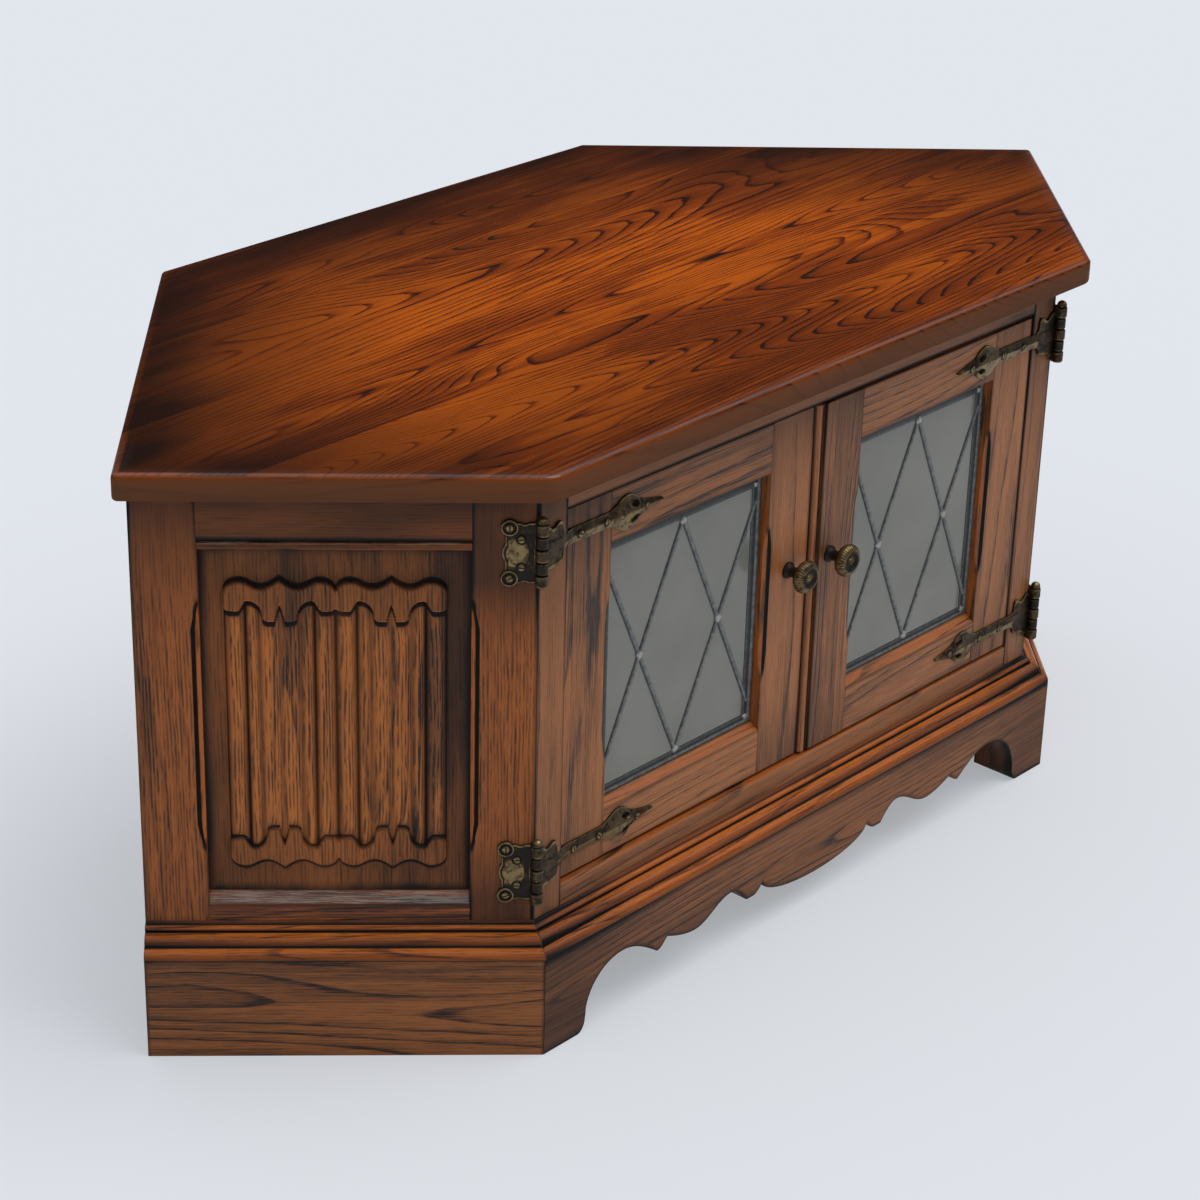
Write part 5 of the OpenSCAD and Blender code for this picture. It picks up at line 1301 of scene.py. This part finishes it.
def pinSkin(hand, height):
    # A pin with a domed head, standing through all five barrels.
    r, pin = hinge["pinHead"], hinge["pin"]
    foot, head = height - 2.5 * hinge["pitch"], height + 2.5 * hinge["pitch"]
    profile = [(0.05, foot, 1), (pin, foot, 1), (pin, head, 1), (r - 0.3, head, 1), (r, head + 0.3, 0.6)]
    # Painted light on the top of the dome, painted shade on its side and on the pin.
    profile += [(r * math.cos(a), head + 1 + r * math.sin(a), 0.5 - 0.9 * math.sin(a))
                for a in np.radians(range(0, 86, 10))]
    grid, shade = turned(profile, (-hinge["axisIn"], -hinge["axisOff"], 0), 40, upright=True)
    return skin(onSide(grid, hand), shade)


def leafScrews(hand, height):
    return [screwHead(onSide, hand, (x, 0.2 - hinge["thick"], height + sign * z), x + z * sign)
            for x, z in (hinge["bossAt"], hinge["innerScrew"]) for sign in (-1, 1)]


for hand in sides:
    makeHinges(hand)
places = [(hand, height) for hand in sides for height in hinge["heights"]]
screws = [screw for place in places for screw in leafScrews(*place)]
brassPiece("hingePins", [pinSkin(*place) for place in places], "carcass", "hinge_pins", 35)
brassPiece("leafScrews", screws, "carcass", "leaf_screws", 35)
print("hinges made")


# lead strips
lead = dict(bottom=8.0, side=10.0, top=12.0, came=4.0, high=1.5, solder=3.7, clearance=0.1)
borderSection = np.array([      # (share of the way in, height, shade), rounded outside, flat and darkened inside by a painted shadow and reflection of the came
    (0, 0, -1), (0, 0.7, -0.3), (0.08, 1.5, 0), (0.2, 1.9, -0.1), (0.36, 1.9, -0.1), (0.47, 1.5, -0.3),
    (0.52, 0.9, -1), (0.6, 0.7, -0.9), (0.8, 0.7, -0.75), (0.94, 0.6, -0.5), (1, 0.3, -0.9), (1, 0, -1)])


def borderSkin(hand, outer, inner):
    # A mitred border between two rectangles, with a row close before and behind each corner to keep it crisp.
    share, up, shade = borderSection.T
    corners = outer[:, None] + share[:, None] * (inner - outer)[:, None]
    near = [corners + (np.roll(corners, step, 0) - corners) * 0.004 for step in (1, -1)]
    rows = np.stack([near[0], corners, near[1]], 1).reshape(12, -1, 2)
    depth = np.broadcast_to(door["rebateDepth"] - up, rows.shape[:2])
    grid = np.stack([rows[..., 0], depth, rows[..., 1]], -1)
    return skin(onDoor(grid, hand), np.broadcast_to(shade, grid.shape[:2]), loop=True)


def stripSkin(hand, start, end):
    # A half-round strip between two points, with painted shade darkening its edges.
    front, a = door["rebateDepth"], np.radians(np.linspace(0, 180, 9))
    start, end = np.array(start), np.array(end)
    go = (end - start) / np.linalg.norm(end - start)
    middle = (end - start) * np.array([0, 0.02, 0.35, 0.7, 0.94])[:, None] + start
    line = middle[:, None] + np.array([-go[1], go[0]]) * (lead["came"] / 2 * np.cos(a))[:, None]
    depth = np.broadcast_to(front - 0.15 - lead["high"] * np.sin(a), line.shape[:2])
    rod = np.stack([line[..., 0], depth, line[..., 1]], -1)
    rod = np.concatenate([rod, rod[:, [-1, 0]] * [1, 0, 1] + [0, front, 0]], 1)
    return skin(onDoor(rod, hand), np.concatenate([-0.5 * np.abs(np.cos(a)) ** 3, [-1, -1]]))


def solderSkin(hand, x, z, k):
    # An uneven blob of solder; k turns its bumps. The first four, where strips cross, are the larger ones.
    size = lead["solder"] * (1 if k < 4 else 0.7)
    profile = [(size, 0, 0.2, 1), (size, 0.7, 0.4, 1), (size * 0.8, 1.7, 0.9, 0.8), (size * 0.5, 2.1, 1, 0.5),
               (0.1, 2.3, 1, 0)]
    grid, shade = turned(profile, (x, door["rebateDepth"], z), 20,
                         ripple=lambda a: 0.45 * np.sin(3 * a + k) + 0.3 * np.sin(5 * a + 2 * k))
    return skin(onDoor(grid, hand), shade)


def makeLead(hand):
    # The border, four strips between the middles of its long sides and its corners, and solder where they
    # meet.
    g = lead["clearance"]
    left, right, low, high = doorwayOf(hand)
    foot, crown, mid = low + lead["bottom"], high - lead["top"], (left + right) / 2
    outer, inner = [np.array([(x0, z0), (x1, z0), (x1, z1), (x0, z1)]) for x0, x1, z0, z1 in (
        (left + g, right - g, low + g, high - g), (left + lead["side"], right - lead["side"], foot, crown))]
    skins = [borderSkin(hand, outer, inner)]
    skins += [stripSkin(hand, (mid, z), (x, crown + foot - z)) for z in (crown, foot) for x in (left, right)]
    blobs = [((left + mid) / 2, (crown + foot) / 2), ((mid + right) / 2, (crown + foot) / 2), (mid, foot + 1),
             (mid, crown - 1)]
    blobs += [(x, z) for x in (left + 7, right - 7) for z in (foot - 2, crown + 3)]
    skins += [solderSkin(hand, x, z, k) for k, (x, z) in enumerate(blobs)]
    makePiece(sides[hand] + "Leading", skins, sides[hand] + "_door", finishes["lead"],
              [sides[hand] + "_door_leading"], sharp=50)


for hand in sides:
    makeLead(hand)
print("lead made")


# finishes of the CAD pieces that stay
stays = {
    "shellFlat": ["cabinet_floor", "floor_battens", "back_panel", "top_blocks",
                  "left_door_glazing_beads", "right_door_glazing_beads"],
    "shellUp": ["left_wall_panel", "right_wall_panel", "left_rear_post", "right_rear_post"],
    "pane": ["left_door_glass", "right_door_glass"],
    "catch": ["magnetic_catches"],
    "strike": ["left_strike_plate", "right_strike_plate"],
}
for finish, names in stays.items():
    for name in names:
        materials = nodes[name].data.materials
        materials.clear()
        materials.append(finishes[finish])


# floor, light and camera
studio = dict(
    floorTint=colour(225, 229, 234), room=(0.13, 0.13, 0.135), ceiling=(0.93, 0.95, 1.0),
    ceilingFrom=(0.42, 0.68),
    sunStrength=1.15, sunAngle=42, sunFrom=(0.35, -0.3, 1.0), sunTint=(1.0, 0.98, 0.95), floorGlow=0.46,
    floorReach=100.0,      # metres, so that a low camera sees no rim
)
camera = dict(place=(-1.765757, -1.592835, 1.332404), turn=(64.28412, -1.373515, -47.407445), lens=92.5795)

reach = studio["floorReach"]
floorMesh = bpy.data.meshes.new("floor")
floorMesh.from_pydata([(-reach, -reach, 0), (reach, -reach, 0), (reach, reach, 0), (-reach, reach, 0)], [],
                      [(0, 1, 2, 3)])
floor = linked("floor", floorMesh)
ground = Finish("floorPaint")
floorTint = (*studio["floorTint"], 1)
ground.set(Base_Color=floorTint, Roughness=1.0, Specular_IOR_Level=0.0)
seen = [ground.node("ShaderNodeLightPath", {}, {}, ray)
        for ray in ("Is Camera Ray", "Is Glossy Ray", "Is Transmission Ray")]
glow = ground.node("ShaderNodeEmission", {}, {"Color": floorTint, "Strength": 1.0})
share = (seen[0] + seen[1] + seen[2]).clip() * studio["floorGlow"]
lit = ground.node("ShaderNodeMixShader", {}, [share, Wire(ground, ground.shader.outputs[0]), glow])
ground.feed(ground.tree.nodes["Material Output"].inputs[0], lit)
floorMesh.materials.append(ground.material)

room = Finish("studio", bpy.data.worlds.new("studio"))
upward = room.split(room.node("ShaderNodeTexCoord", {}, {}, "Generated"))[2]
low, high = studio["ceilingFrom"]
rise = room.node("ShaderNodeMapRange", {}, {0: upward, 1: low, 2: high})
room.set(Color=room.mix(rise, studio["room"], studio["ceiling"]))
bpy.context.scene.world = room.material

lamp = bpy.data.lights.new("softSun", "SUN")
lamp.energy, lamp.color = studio["sunStrength"], studio["sunTint"]
lamp.angle = math.radians(studio["sunAngle"])
sun = linked("softSun", lamp)
sun.rotation_euler = Vector(studio["sunFrom"]).to_track_quat("Z", "Y").to_euler()

lens = bpy.data.cameras.new("camera")
lens.lens, lens.sensor_width = camera["lens"], 36
view = linked("camera", lens)
view.location = camera["place"]
view.rotation_euler = [math.radians(a) for a in camera["turn"]]
bpy.context.scene.camera = view
bpy.context.scene.view_settings.view_transform = "Standard"
print("studio made")
